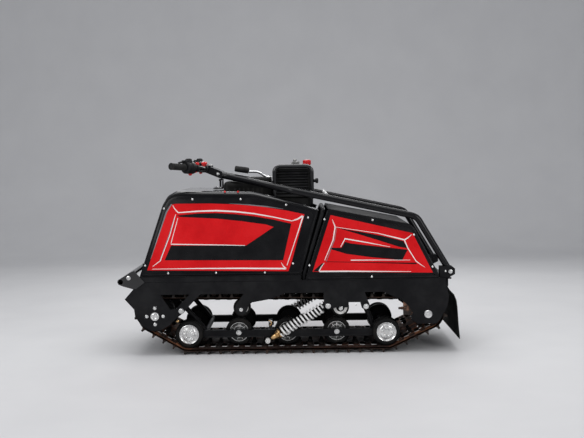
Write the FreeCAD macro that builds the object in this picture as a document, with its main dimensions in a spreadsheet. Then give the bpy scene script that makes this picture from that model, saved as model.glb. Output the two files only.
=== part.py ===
"""Tracked snow towing vehicle with a folding tiller, as a parametric document.

Frame: +X forward, +Y to the left side, +Z up, origin on the ground under the middle.
Every size is in millimetres and lives once in the sheet "sizes".
"""
import FreeCAD, Part
import math
import os
import Sketcher

doc = FreeCAD.newDocument("tow_vehicle")
sheet = doc.addObject("Spreadsheet::Sheet", "sizes")
nodes = []


class Size:
    """A length that knows its number and the sheet formula that gives it."""

    def __init__(self, number, formula):
        self.number = number
        self.formula = formula

    def __add__(self, other):
        other = size(other)
        return Size(self.number + other.number, f"({self.formula} + {other.formula})")

    def __sub__(self, other):
        other = size(other)
        return Size(self.number - other.number, f"({self.formula} - {other.formula})")

    def __mul__(self, other):
        other = size(other)
        return Size(self.number * other.number, f"({self.formula} * {other.formula})")

    def __truediv__(self, other):
        other = size(other)
        return Size(self.number / other.number, f"({self.formula} / {other.formula})")

    def __neg__(self):
        return Size(-self.number, f"(0 - {self.formula})")


def size(value):
    """A plain number taken as a size of its own."""
    if isinstance(value, Size):
        return value
    return Size(float(value), f"({float(value)!r})")


def root(value):
    return Size(math.sqrt(value.number), f"sqrt({value.formula})")


def cell(alias, number, meaning):
    """One driving dimension: a row of the sheet with its alias and its meaning."""
    row = cell.row
    sheet.set(f"A{row}", meaning)
    sheet.set(f"B{row}", str(number))
    sheet.setAlias(f"B{row}", alias)
    cell.row += 1
    return Size(float(number), f"sizes.{alias}")


cell.row = 1

# Overall layout
track_width = cell("track_width", 500, "width of the rubber track")
axle_base = cell("axle_base", 1169, "drive axle to rear idler axle")
drive_x = cell("drive_x", 577, "drive axle ahead of the origin")
drive_height = cell("drive_height", 173.5, "drive axle above the ground")
idler_height = cell("idler_height", 167.5, "idler axle above the ground")
deck_height = cell("deck_height", 321, "top of the deck above the ground")
hood_height = cell("hood_height", 708, "top of the front hood above the ground")

# Track and wheels
belt_thickness = cell("belt_thickness", 6.5, "belt without its lugs")
lug_height = cell("lug_height", 17.5, "lugs outside the belt")
drive_radius = cell("drive_radius", 69, "inside of the belt on the drive sprockets")
idler_radius = cell("idler_radius", 62, "rear idler wheels")
wheel_radius = cell("wheel_radius", 60, "road wheels")
wheel_width = cell("wheel_width", 25, "road wheels across the tyre")
first_wheel_back = cell("first_wheel_back", 139, "first road wheel behind the drive axle")
last_wheel_ahead = cell("last_wheel_ahead", 174.5, "last road wheel ahead of the idler axle")
return_radius = cell("return_radius", 38, "return rollers under the upper run")

# Chassis
track_gap = cell("track_gap", 14, "track edge to side plate")
plate_thickness = cell("plate_thickness", 4, "side plates")
deck_thickness = cell("deck_thickness", 3, "deck sheet")
rail_height = cell("rail_height", 24, "side rails under the front hood")
rail_width = cell("rail_width", 28, "side rails across")
tube_wall = cell("tube_wall", 2.5, "wall of box tubes")
member_size = cell("member_size", 28, "cross members, square")
rear_member_size = cell("rear_member_size", 36, "rear cross member, square")
shaft_radius = cell("shaft_radius", 15, "drive shaft")
axle_radius = cell("axle_radius", 10, "idler, wheel and roller axles")
fit_gap = cell("fit_gap", 0.3, "seat of a rolling part on the belt")
pin_radius = cell("pin_radius", 8, "roller axles, shock pins and tiller pivots")
bracket_thickness = cell("bracket_thickness", 5, "bumper brackets and tiller ears")
bumper_radius = cell("bumper_radius", 13, "bumper tube")
bumper_reach = cell("bumper_reach", 143, "bumper tube ahead of the drive axle")
hitch_half = cell("hitch_half", 32, "half width of the hitch clevis")
hitch_plate = cell("hitch_plate", 6, "plates of the hitch clevis")
hitch_reach = cell("hitch_reach", 52, "hitch clevis behind the rear member")
hitch_bore_radius = cell("hitch_bore_radius", 8.5, "bore for the drawbar pin")
hitch_bore_inset = cell("hitch_bore_inset", 22, "bore ahead of the clevis end")
flap_thickness = cell("flap_thickness", 5, "rubber flap")
flap_inset = cell("flap_inset", 2, "flap edge inside the track edge")

# Running gear
beam_inset = cell("beam_inset", 72, "slide beams' inner face inside the track edge")
beam_thickness = cell("beam_thickness", 20, "slide beams across")
beam_depth = cell("beam_depth", 24, "slide beams up and down")
wheel_gap = cell("wheel_gap", 2, "slide beam to wheel")
swing_tube_radius = cell("swing_tube_radius", 11, "swing arm tubes")
swing_pivot_radius = cell("swing_pivot_radius", 13, "swing arm pivot tubes")
shock_inset = cell("shock_inset", 22, "shock centre line inside the track edge")
eye_radius = cell("eye_radius", 13, "shock eyes")
eye_half = cell("eye_half", 12, "half width of a shock eye")
strut_radius = cell("strut_radius", 11, "shock body")
spring_radius = cell("spring_radius", 24, "coil spring over the shock")
roller_inset = cell("roller_inset", 22, "return rollers inside the track edge")
roller_width = cell("roller_width", 30, "return rollers across")
sprocket_inner = cell("sprocket_inner", 90, "sprockets' inner face to the centre line")
sprocket_width = cell("sprocket_width", 22, "sprockets across")
bearing_radius = cell("bearing_radius", 46, "drive bearing housings")
bearing_width = cell("bearing_width", 12, "drive bearing housings across")
idler_inner = cell("idler_inner", 120, "idlers' inner face to the centre line")
idler_width = cell("idler_width", 30, "idlers across")
cap_length = cell("cap_length", 6, "drive shaft caps")
axle_end = cell("axle_end", 4, "idler axle outside the side plates")

# Engine
engine_ahead = cell("engine_ahead", 708, "engine's datum ahead of the front hood's rear edge")
engine_half = cell("engine_half", 140, "half width of the engine block")
engine_top = cell("engine_top", 290, "top of the engine block over the deck")
engine_lift = cell("engine_lift", 30, "engine feet")
cover_half = cell("cover_half", 80, "half width of the engine cover")
cowl_rise = cell("cowl_rise", 18, "engine cover's rear half over its front half")
cover_rise = cell("cover_rise", 33, "engine cover over the front hood")
guard_rise = cell("guard_rise", 89, "muffler guard over the front hood")
guard_tube_radius = cell("guard_tube_radius", 9, "guard frame tube")
filler_radius = cell("filler_radius", 19, "filler cap")
filler_height = cell("filler_height", 37, "filler cap above its seat")
lever_side = cell("lever_side", 30, "reverse lever to the centre line")
lever_radius = cell("lever_radius", 5, "reverse lever rod")
lever_grip_radius = cell("lever_grip_radius", 14, "reverse lever grip")

# Hoods
hood_sheet = cell("hood_sheet", 3, "hood walls")
hood_lean = cell("hood_lean", 26, "how far a hood side leans in at the top")
hood_length = cell("hood_length", 690, "front hood along its foot")
hoop_gap = cell("hoop_gap", 38, "gap between the hoods for the hoop")
rear_hood_height = cell("rear_hood_height", 624, "front edge of the rear hood's top")
bay_half = cell("bay_half", 165, "half width of the opening over the engine")
panel_inset = cell("panel_inset", 2, "hood foot inside the side plate's outer face")
hoop_radius = cell("hoop_radius", 10, "hoop tube between the hoods")

# Tiller
arm_radius = cell("arm_radius", 14, "tiller tubes")
arm_spread = cell("arm_spread", 240, "tiller tube to the centre line")
pivot_height = cell("pivot_height", 348.5, "tiller pivot above the ground")
pivot_back = cell("pivot_back", 96, "tiller pivot behind the idler axle")
pin_clearance = cell("pin_clearance", 0.05, "radial play of the pivot pins")
bar_radius = cell("bar_radius", 11, "handlebar tube")
bar_half = cell("bar_half", 302, "handlebar end to the centre line")
grip_radius = cell("grip_radius", 15, "grips")
bar_wall = cell("bar_wall", 2, "handlebar wall")
bar_flat = cell("bar_flat", 128, "half width of the handlebar's straight middle")
bar_ahead = cell("bar_ahead", 75, "handlebar's middle ahead of its clamp's rear face")
bar_lift = cell("bar_lift", 31, "handlebar's middle over the middle of its clamp's rear face")
bar_sweep = cell("bar_sweep", 118, "handlebar ends ahead of its middle")
bar_rise = cell("bar_rise", 14, "handlebar ends above its middle")
control_radius = cell("control_radius", 27, "control bodies on the handlebar")
perch_radius = cell("perch_radius", 17, "lever perch on each control body")
perch_height = cell("perch_height", 40, "top of the lever perches over the handlebar")
crossbar_radius = cell("crossbar_radius", 9, "cross tube between the tiller tubes")
crossbar_lift = cell("crossbar_lift", 9, "cross tube over the tiller tubes' centre line")
crossbar_back = cell("crossbar_back", 34, "cross tube behind the front hood's rear edge")
ear_gap = cell("ear_gap", 1, "tiller tube to each ear")
clamp_ahead = cell("clamp_ahead", 426, "handlebar clamp ahead of the front hood's rear edge")
clamp_length = cell("clamp_length", 95, "handlebar clamp fore and aft")
clamp_climb = cell("clamp_climb", 39, "handlebar clamp's front face over its rear face")
clamp_half_height = cell("clamp_half_height", 17, "half height of the handlebar clamp")
clamp_half_width = cell("clamp_half_width", 64, "half width of the handlebar clamp")
part_drop = cell("part_drop", 5.6, "tiller tubes under the front hood's top where they start to close in")
bend_drop = cell("bend_drop", 123, "rear bend of the tiller tubes under the front hood's top")
bend_ahead = cell("bend_ahead", 44, "rear bend of the tiller tubes ahead of the idler axle")
clamp_rise = cell("clamp_rise", 61, "handlebar clamp's centre over the front hood")

doc.recompute()

# Places that follow from the driving dimensions
half_track = track_width / 2
plate_inner = half_track + track_gap
plate_outer = plate_inner + plate_thickness
idler_x = drive_x - axle_base
band = belt_thickness + lug_height
wheel_height = band + wheel_radius
first_wheel_x = drive_x - first_wheel_back
last_wheel_x = idler_x + last_wheel_ahead
wheel_step = (first_wheel_x - last_wheel_x) / 4
wheel_places = [first_wheel_x - wheel_step * number for number in range(5)]
pivot_x = idler_x - pivot_back


def bind(thing, **formulas):
    """Ties properties of one object to formulas; double underscores stand for dots."""
    for name, value in formulas.items():
        thing.setExpression(name.replace("__", "."), size(value).formula)
    return thing


def box(name, x, y, z):
    """A box between the pairs of limits x, y and z."""
    block = doc.addObject("Part::Box", name)
    bind(block, Length=size(x[1]) - x[0], Width=size(y[1]) - y[0], Height=size(z[1]) - z[0])
    return bind(block, Placement__Base__x=x[0], Placement__Base__y=y[0], Placement__Base__z=z[0])


def across(name, x, z, y, radius):
    """A cylinder along Y between the pair of limits y."""
    rod = doc.addObject("Part::Cylinder", name)
    rod.Placement = FreeCAD.Placement(FreeCAD.Vector(), FreeCAD.Rotation(FreeCAD.Vector(1, 0, 0), -90))
    bind(rod, Radius=radius, Height=size(y[1]) - y[0])
    return bind(rod, Placement__Base__x=x, Placement__Base__y=y[0], Placement__Base__z=z)


def rod_between(name, start, end, radius):
    """A cylinder from one point to another."""
    rod = doc.addObject("Part::Cylinder", name)
    run = [size(b) - a for a, b in zip(start, end)]
    length = root(run[0] * run[0] + run[1] * run[1] + run[2] * run[2])
    bind(rod, Radius=radius, Height=length)
    bind(rod, Placement__Base__x=start[0], Placement__Base__y=start[1], Placement__Base__z=start[2])
    rod.setExpression("Placement.Rotation.Axis.x", (-run[1]).formula)
    rod.setExpression("Placement.Rotation.Axis.y", run[0].formula)
    rod.setExpression("Placement.Rotation.Axis.z", "0")
    rod.setExpression("Placement.Rotation.Angle", f"acos({(run[2] / length).formula})")
    return rod


def cut(name, base, *tools):
    """What is left of the base after each tool."""
    for number, tool in enumerate(tools):
        result = doc.addObject("Part::Cut", f"{name}_cut_{number}")
        result.Base = base
        result.Tool = tool
        base = result
    return base


def fuse(name, *parts):
    joined = doc.addObject("Part::MultiFuse", name)
    joined.Shapes = list(parts)
    joined.Refine = True
    return joined


def common(name, first, second):
    shared = doc.addObject("Part::MultiCommon", name)
    shared.Shapes = [first, second]
    return shared


def mirror(name, source):
    """The same piece on the right side."""
    copy = doc.addObject("Part::Mirroring", name)
    copy.Source = source
    copy.Normal = FreeCAD.Vector(0, 1, 0)
    return copy


def group(name, *parts):
    """Like solids that don't touch, in one sub-part."""
    together = doc.addObject("Part::Compound", name)
    together.Links = list(parts)
    return together


def both(name, source):
    """A piece and its mirror image as one sub-part."""
    return group(name, source, mirror(f"{name}_right", source))


def node(label, thing):
    thing.Label = label
    nodes.append(thing)
    return thing


def pin_point(sketch, edge, end, across_value, up_value):
    """Ties one end of a sketched line to its place."""
    for kind, value in (("DistanceX", across_value), ("DistanceY", up_value)):
        value = size(value)
        index = sketch.addConstraint(Sketcher.Constraint(kind, -1, 1, edge, end, value.number))
        sketch.setExpression(f"Constraints[{index}]", value.formula)


def sketch_in(body, role):
    sketch = body.newObject("Sketcher::SketchObject", f"{body.Name}_sketch")
    plane = [item for item in body.Origin.OriginFeatures if item.Role == role][0]
    sketch.AttachmentSupport = [(plane, "")]
    sketch.MapMode = "FlatFace"
    return sketch


def draw_loop(sketch, points):
    """A closed outline of straight edges, each corner tied to its place."""
    first = sketch.GeometryCount
    count = len(points)
    places = [FreeCAD.Vector(size(a).number, size(b).number, 0) for a, b in points]
    for number in range(count):
        sketch.addGeometry(Part.LineSegment(places[number], places[(number + 1) % count]), False)
    for number in range(count):
        after = first + (number + 1) % count
        sketch.addConstraint(Sketcher.Constraint("Coincident", first + number, 2, after, 1))
        pin_point(sketch, first + number, 1, *points[number])


def draw_circle(sketch, across_value, up_value, radius):
    centre = FreeCAD.Vector(size(across_value).number, size(up_value).number, 0)
    edge = sketch.addGeometry(Part.Circle(centre, FreeCAD.Vector(0, 0, 1), size(radius).number), False)
    pin_point(sketch, edge, 3, across_value, up_value)
    index = sketch.addConstraint(Sketcher.Constraint("Radius", edge, size(radius).number))
    sketch.setExpression(f"Constraints[{index}]", size(radius).formula)


def pad(body, sketch, length):
    feature = body.newObject("PartDesign::Pad", f"{sketch.Name}_pad")
    feature.Profile = sketch
    bind(feature, Length=length)
    return feature


def plate(name, outline, y, *holes):
    """A plate in the XZ plane between the pair of limits y, with holes."""
    body = doc.addObject("PartDesign::Body", name)
    sketch = sketch_in(body, "XZ_Plane")
    draw_loop(sketch, outline)
    for hole in holes:
        if len(hole) == 3 and not isinstance(hole[0], tuple):
            draw_circle(sketch, *hole)
        else:
            draw_loop(sketch, hole)
    pad(body, sketch, size(y[1]) - y[0])
    return bind(body, Placement__Base__y=y[1])


def frame_slice(name, outline, x):
    """A plate in the YZ plane between the pair of limits x."""
    body = doc.addObject("PartDesign::Body", name)
    sketch = sketch_in(body, "YZ_Plane")
    draw_loop(sketch, outline)
    pad(body, sketch, size(x[1]) - x[0])
    return bind(body, Placement__Base__x=x[0])


def rounded_path(points, bend):
    """Straight runs joined by tangent arcs of the bend radius."""
    places = [FreeCAD.Vector(*(size(value).number for value in point)) for point in points]
    edges = []
    here = places[0]
    for before, corner, after in zip(places, places[1:], places[2:]):
        back = (before - corner).normalize()
        ahead = (after - corner).normalize()
        half_turn = (math.pi - back.getAngle(ahead)) / 2
        reach = bend * math.tan(half_turn)
        start = corner + back * reach
        stop = corner + ahead * reach
        bisector = (back + ahead).normalize()
        middle = corner + bisector * (bend / math.cos(half_turn) - bend)
        edges.append(Part.LineSegment(here, start).toShape())
        edges.append(Part.Arc(start, middle, stop).toShape())
        here = stop
    edges.append(Part.LineSegment(here, places[-1]).toShape())
    return Part.Wire(edges)


def bent_tube(name, points, radius, wall, bend):
    """A tube bent in space, made along its rounded path."""
    path = rounded_path(points, bend)
    start = path.Vertexes[0].Point
    direction = path.Edges[0].tangentAt(path.Edges[0].FirstParameter)
    outside = Part.Wire(Part.makeCircle(size(radius).number, start, direction))
    shape = path.makePipeShell([outside], True, False)
    if wall is not None:
        inner_radius = size(radius).number - size(wall).number
        inside = Part.Wire(Part.makeCircle(inner_radius, start, direction))
        shape = shape.cut(path.makePipeShell([inside], True, False))
    tube = doc.addObject("Part::Feature", name)
    tube.Shape = shape
    return tube


def build_track():
    """One closed band round the sprockets, the road wheels and the idlers."""
    circles = [
        (drive_x, drive_height, drive_radius),
        (idler_x, idler_height, idler_radius),
        (last_wheel_x, wheel_height, wheel_radius),
        (first_wheel_x, wheel_height, wheel_radius),
    ]
    body = doc.addObject("PartDesign::Body", "track_body")
    outer = sketch_in(body, "XZ_Plane")
    draw_belt(outer, [(x, z, r + band) for x, z, r in circles])
    pad(body, outer, track_width)
    inner = sketch_in(body, "XZ_Plane")
    draw_belt(inner, circles)
    doc.recompute()
    hollow = body.newObject("PartDesign::Pocket", "track_hollow")
    hollow.Profile = inner
    hollow.Type = "ThroughAll"
    hollow.Reversed = True
    bind(body, Placement__Base__y=half_track)
    return node("track", body)


def draw_belt(sketch, circles):
    """A loop of arcs and tangent lines round circles given against the clock from the front."""
    count = len(circles)
    numbers = [(size(x).number, size(z).number, size(r).number) for x, z, r in circles]
    leaves = []
    for (x, z, r), (x2, z2, r2) in zip(numbers, numbers[1:] + numbers[:1]):
        distance = math.hypot(x2 - x, z2 - z)
        heading = math.atan2(z2 - z, x2 - x)
        leaves.append(heading - math.acos((r - r2) / distance))
    for number, (x, z, r) in enumerate(numbers):
        start = leaves[number - 1]
        stop = leaves[number]
        while stop < start:
            stop += 2 * math.pi
        circle = Part.Circle(FreeCAD.Vector(x, z, 0), FreeCAD.Vector(0, 0, 1), r)
        sketch.addGeometry(Part.ArcOfCircle(circle, start, stop), False)
    for number, (x, z, r) in enumerate(numbers):
        x2, z2, r2 = numbers[(number + 1) % count]
        turn = leaves[number]
        start = FreeCAD.Vector(x + r * math.cos(turn), z + r * math.sin(turn), 0)
        stop = FreeCAD.Vector(x2 + r2 * math.cos(turn), z2 + r2 * math.sin(turn), 0)
        sketch.addGeometry(Part.LineSegment(start, stop), False)
    for number, (x, z, r) in enumerate(circles):
        after = (number + 1) % count
        sketch.addConstraint(Sketcher.Constraint("Tangent", number, 2, count + number, 1))
        sketch.addConstraint(Sketcher.Constraint("Tangent", count + number, 2, after, 1))
        pin_point(sketch, number, 3, x, z)
        index = sketch.addConstraint(Sketcher.Constraint("Radius", number, size(r).number))
        sketch.setExpression(f"Constraints[{index}]", size(r).formula)


# Line of the tiller tubes from their bend at the rear to the clamp at the front
bend_x = idler_x + bend_ahead
bend_z = hood_height - bend_drop
hood_foot_front = drive_x + 62
hood_foot_rear = hood_foot_front - hood_length
hood_rear_top = hood_foot_rear - 80
clamp_rear = hood_rear_top + clamp_ahead
engine_x = hood_rear_top + engine_ahead
part_x = engine_x - 597
part_z = hood_height - part_drop
rear_slope = (part_z - bend_z) / (part_x - bend_x)
front_slope = (hood_height + clamp_rise - part_z) / (clamp_rear - part_x)


def arm_height(x):
    """Centre line of the tiller tubes' front half over a place along the machine."""
    return part_z + (size(x) - part_x) * front_slope


# Places on the side plates
arm_pivot = (drive_x - 113, drive_height + 21.5)
rear_arm_pivot = (idler_x + 266, idler_height + 36.5)
shock_top = (idler_x + 428, idler_height + 41.5)
run_fall = (drive_height + drive_radius - idler_height - idler_radius) / axle_base


def under_run(x):
    """Height of the inside of the upper run at a place along the machine."""
    return drive_height + drive_radius - run_fall * (drive_x - x)


return_front_x = drive_x - 371
return_rear_x = idler_x + 373
roller_drop = return_radius + fit_gap * 2
return_places = [(x, under_run(x) - roller_drop) for x in (return_front_x, return_rear_x)]


def build_side_plates():
    """Cut steel plates that carry every axle, with the windows over the track."""
    window_top = deck_height - 55
    d = drive_x
    i = idler_x
    dz = drive_height
    iz = idler_height
    boss = 17
    front = return_front_x
    rear = return_rear_x
    outline = [
        (d + 83, deck_height), (d + 90, dz + 118), (d + 128, dz + 75), (d + 89, dz + 31),
        (d + 85, dz), (d + 60, dz - 39), (d + 20, dz - 63), (d - 20, dz - 63), (d - 60, dz - 40),
        (d - 95, dz - 7),
        (arm_pivot[0] + 2, arm_pivot[1] - boss), (arm_pivot[0] - boss, arm_pivot[1] + 2),
        (d - 196, window_top), (front - 12, window_top), (front + 24, return_places[0][1] + 18),
        (front + 26, return_places[0][1]), (front + 18, return_places[0][1] - 19),
        (front, return_places[0][1] - 26), (front - 18, return_places[0][1] - 19),
        (front - 27, return_places[0][1]), (front - 31, return_places[0][1] + 16),
        (front - 46, return_places[0][1] + 28), (front - 123, window_top - 25),
        (front - 188, window_top),
        (shock_top[0] + boss, window_top), (shock_top[0] + boss, shock_top[1] - 5),
        (shock_top[0], shock_top[1] - boss), (rear + 20, return_places[1][1] + 6),
        (rear - 34, return_places[1][1] + 6), (rear - 34, return_places[1][1] + 28),
        (rear_arm_pivot[0] + 24, return_places[1][1] + 28),
        (rear_arm_pivot[0] + boss, rear_arm_pivot[1] - 6),
        (rear_arm_pivot[0] - 4, rear_arm_pivot[1] - boss),
        (rear_arm_pivot[0] - boss, rear_arm_pivot[1] + 6),
        (rear_arm_pivot[0] + 4, window_top),
        (i + 194, window_top), (i + 122, iz + 68), (i + 84, iz + 38), (i + 67, iz + 7),
        (i + 72, iz - 23), (i + 46, iz - 41), (i - 34, iz - 41), (i - 51, iz - 25),
        (i - 81, iz + 31), (i - 90, iz + 78), (i - 81, iz + 104), (i - 77, deck_height),
    ]
    window = [(d - 25, window_top), (d - 150, window_top), (d - 92, dz + 32), (d - 66, dz + 28)]
    left = plate("side_plate_body", outline, (plate_inner, plate_outer), window,
                 (d, dz, shaft_radius), (i, iz, axle_radius))
    node("side_plate_left", left)
    node("side_plate_right", mirror("side_plate_mirror", left))


def build_frame():
    """Deck sheet, box tubes above and below it, and the rear member with its ears."""
    deck_front = hood_foot_front + 11
    deck_rear = idler_x - 50
    deck = box("deck_sheet", (deck_rear, deck_front), (-plate_inner, plate_inner),
               (deck_height - deck_thickness, deck_height))
    node("deck", deck)
    rail_in = plate_outer - rail_width
    rail_rear = hood_foot_rear
    rail = box("rail", (rail_rear, deck_front - 10), (rail_in, plate_outer), (deck_height, rail_top))
    rail_bore = box("rail_bore", (rail_rear, deck_front - 10), (rail_in + tube_wall, plate_outer - tube_wall),
                    (deck_height + tube_wall, rail_top - tube_wall))
    left_rail = cut("rail", rail, rail_bore)
    member_top = deck_height - deck_thickness
    members = []
    for number, x in enumerate((drive_x - 150, (drive_x + idler_x) / 2, idler_x + 190)):
        half = member_size / 2
        inner = half - tube_wall
        solid = box(f"member_{number}", (x - half, x + half), (-plate_inner, plate_inner),
                    (member_top - member_size, member_top))
        bore = box(f"member_bore_{number}", (x - inner, x + inner), (-plate_inner, plate_inner),
                   (member_top - member_size + tube_wall, member_top - tube_wall))
        members.append(cut(f"member_{number}", solid, bore))
    right_rail = mirror("rail_right", left_rail)
    node("frame_members", group("frame_members_group", left_rail, right_rail, *members))
    return deck_front, deck_rear


rail_top = deck_height + rail_height


def lean_at(height):
    """How far in a hood side stands at a height."""
    return hood_lean * (size(height) - deck_height) / (hood_height - deck_height)


def slanted(name, x, low, high, outer_offset, inner_offset):
    """A leaning side wall: a slice between two offsets in from the side plate's outer face."""
    low_y = plate_outer - panel_inset - lean_at(low)
    high_y = plate_outer - panel_inset - lean_at(high)
    outline = [(low_y - outer_offset, low), (high_y - outer_offset, high),
               (high_y - inner_offset, high), (low_y - inner_offset, low)]
    return frame_slice(name, outline, x)


def build_hood(name, side, skin, foot, top, opening):
    """A hood of one bent sheet and two leaning side panels; side and skin are its outlines."""
    rear = idler_x - 60
    front = drive_x + 80
    wall = slanted(f"{name}_wall", (rear, front), foot, top, 0, hood_sheet)
    profile = plate(f"{name}_profile", side, (-plate_outer, plate_outer))
    panel = common(f"{name}_panel", wall, profile)
    inside = frame_slice(f"{name}_inside", [
        (plate_outer - panel_inset - lean_at(foot) - hood_sheet, foot),
        (plate_outer - panel_inset - lean_at(top) - hood_sheet, top),
        (-plate_outer + panel_inset + lean_at(top) + hood_sheet, top),
        (-plate_outer + panel_inset + lean_at(foot) + hood_sheet, foot)], (rear, front))
    strip = plate(f"{name}_skin", skin, (-plate_outer, plate_outer))
    sheet_part = common(f"{name}_sheet", strip, inside)
    if opening is not None:
        sheet_part = cut(f"{name}_open", sheet_part, opening)
    node(f"{name}_hood", sheet_part)
    node(f"{name}_panel_left", panel)
    node(f"{name}_panel_right", mirror(f"{name}_panel_mirror", panel))


def build_hoods():
    """Front hood over the engine and rear hood behind the hoop."""
    t = hood_sheet
    front_side = [
        (hood_foot_front, rail_top), (drive_x - 31, hood_height - 57), (drive_x - 54, hood_height - 21),
        (drive_x - 96, hood_height), (drive_x - 435, hood_height - 8),
        (hood_rear_top + 60, hood_height - 70),
        (hood_rear_top, hood_height - 91), (hood_foot_rear, rail_top),
    ]
    inner = [
        (hood_rear_top, hood_height - 91 - t), (hood_rear_top + 60, hood_height - 70 - t),
        (drive_x - 435, hood_height - 8 - t), (drive_x - 97, hood_height - t),
        (drive_x - 56, hood_height - 23 - t), (drive_x - 34, hood_height - 58 - t),
        (hood_foot_front - t - 0.2, rail_top),
    ]
    opening = box("bay_tool", (hood_rear_top - 20, engine_x - 284), (-bay_half, bay_half),
                  (hood_height - 150, hood_height + 10))
    build_hood("front", front_side, front_side[:7] + inner, rail_top, hood_height, opening)
    foot_front = hood_foot_rear - hoop_gap + 20
    top_front = hood_rear_top - hoop_gap
    high = rear_hood_height
    i = idler_x
    rear_side = [
        (foot_front, deck_height), (top_front, high), (i + 78, high - 69), (i + 57, high - 86),
        (i - 47, deck_height + 16), (i - 47, deck_height),
    ]
    rear_inner = [
        (i - 47 + t, deck_height), (i - 47 + t, deck_height + 16), (i + 59, high - 88 - t),
        (i + 77, high - 70 - t), (top_front, high - t),
    ]
    build_hood("rear", rear_side, rear_side[1:] + rear_inner, deck_height, high + 5, None)
    hoop_foot = ((foot_front + hood_foot_rear) / 2, deck_height)
    hoop_top = ((top_front + hood_rear_top) / 2, high - 8)
    side_y = plate_outer - 22
    top_y = plate_outer - 34
    foot_x = hoop_foot[0] - 4
    hoop = [
        (foot_x, side_y, deck_height), (foot_x, side_y, deck_height + 22),
        (hoop_top[0], top_y, hoop_top[1]), (hoop_top[0], -top_y, hoop_top[1]),
        (foot_x, -side_y, deck_height + 22), (foot_x, -side_y, deck_height),
    ]
    node("centre_hoop", bent_tube("hoop", hoop, hoop_radius, tube_wall, 35))


def build_front():
    """Bumper tube between two bracket plates that also carry the front hood's foot."""
    x = drive_x
    bumper_x = drive_x + bumper_reach
    outer = plate_outer + bracket_thickness
    bracket_outline = [
        (x + 40, deck_height), (x + 84, rail_top + 26), (x + 96, rail_top + 22),
        (bumper_x + 9, deck_height + 12), (bumper_x + 9, deck_height - 8),
        (bumper_x - 11, deck_height - 16), (x + 92, deck_height - 28), (x + 78, deck_height - 28),
    ]
    bracket = plate("bumper_bracket", bracket_outline, (plate_outer, outer))
    tube = across("bumper_tube", bumper_x, deck_height + 3, (-outer, outer), bumper_radius)
    bore = across("bumper_bore", bumper_x, deck_height + 3, (-outer, outer), bumper_radius - tube_wall)
    joined = fuse("bumper_joined", bracket, mirror("bumper_bracket_right", bracket), tube)
    node("front_bumper", cut("bumper", joined, bore))


def build_rear(deck_rear):
    """Rear member with the tiller's ears, the hitch clevis and the flap."""
    low = deck_height - rear_member_size
    member_rear = deck_rear - rear_member_size
    member = box("rear_tube", (member_rear, deck_rear), (-plate_inner, plate_inner), (low, deck_height))
    bore = box("rear_tube_bore", (member_rear + tube_wall, deck_rear - tube_wall),
               (-plate_inner, plate_inner), (low + tube_wall, deck_height - tube_wall))
    tube = cut("rear_tube", member, bore)
    ear_outline = [
        (pivot_x - 20, pivot_height - 12), (pivot_x - 20, pivot_height + 12),
        (pivot_x - 8, pivot_height + 22),
        (deck_rear - 2, pivot_height + 22), (deck_rear - 2, deck_height), (member_rear, deck_height),
    ]
    near = arm_radius + ear_gap
    far = near + bracket_thickness
    inner_ear = (arm_spread - far, arm_spread - near)
    outer_ear = (arm_spread + near, arm_spread + far)
    ears = [plate(f"ear_{n}", ear_outline, limits) for n, limits in enumerate((inner_ear, outer_ear))]
    pin_ends = (arm_spread - far - 4, arm_spread + far + 4)
    pin = across("pivot_pin", pivot_x, pivot_height, pin_ends, pin_radius)
    left = fuse("ears_left", *ears, pin)
    joined = fuse("rear_joined", tube, left, mirror("ears_right", left))
    node("rear_member", joined)
    tongue_end = member_rear - hitch_reach
    across_hitch = (-hitch_half, hitch_half)
    plates = [
        box("clevis_low", (tongue_end, member_rear), across_hitch, (low, low + hitch_plate)),
        box("clevis_high", (tongue_end, member_rear), across_hitch, (deck_height - hitch_plate, deck_height)),
        box("clevis_back", (member_rear - hitch_plate, member_rear), across_hitch, (low, deck_height)),
    ]
    clevis = fuse("clevis_joined", *plates)
    hole = doc.addObject("Part::Cylinder", "hitch_hole")
    bind(hole, Radius=hitch_bore_radius, Height=rear_member_size + hitch_plate * 2)
    bind(hole, Placement__Base__x=tongue_end + hitch_bore_inset, Placement__Base__z=low - hitch_plate)
    node("tow_hitch", cut("clevis", clevis, hole))
    i = idler_x
    iz = idler_height
    line = [
        (deck_rear - 31, low), (i - 99, low - 50), (i - 120, iz + 12), (i - 123, iz - 47), (i - 136, iz - 115),
    ]
    flap_outline = line + [(x - flap_thickness, z) for x, z in reversed(line)]
    flap_half = half_track - flap_inset
    node("mudflap", plate("flap", flap_outline, (-flap_half, flap_half)))


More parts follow.
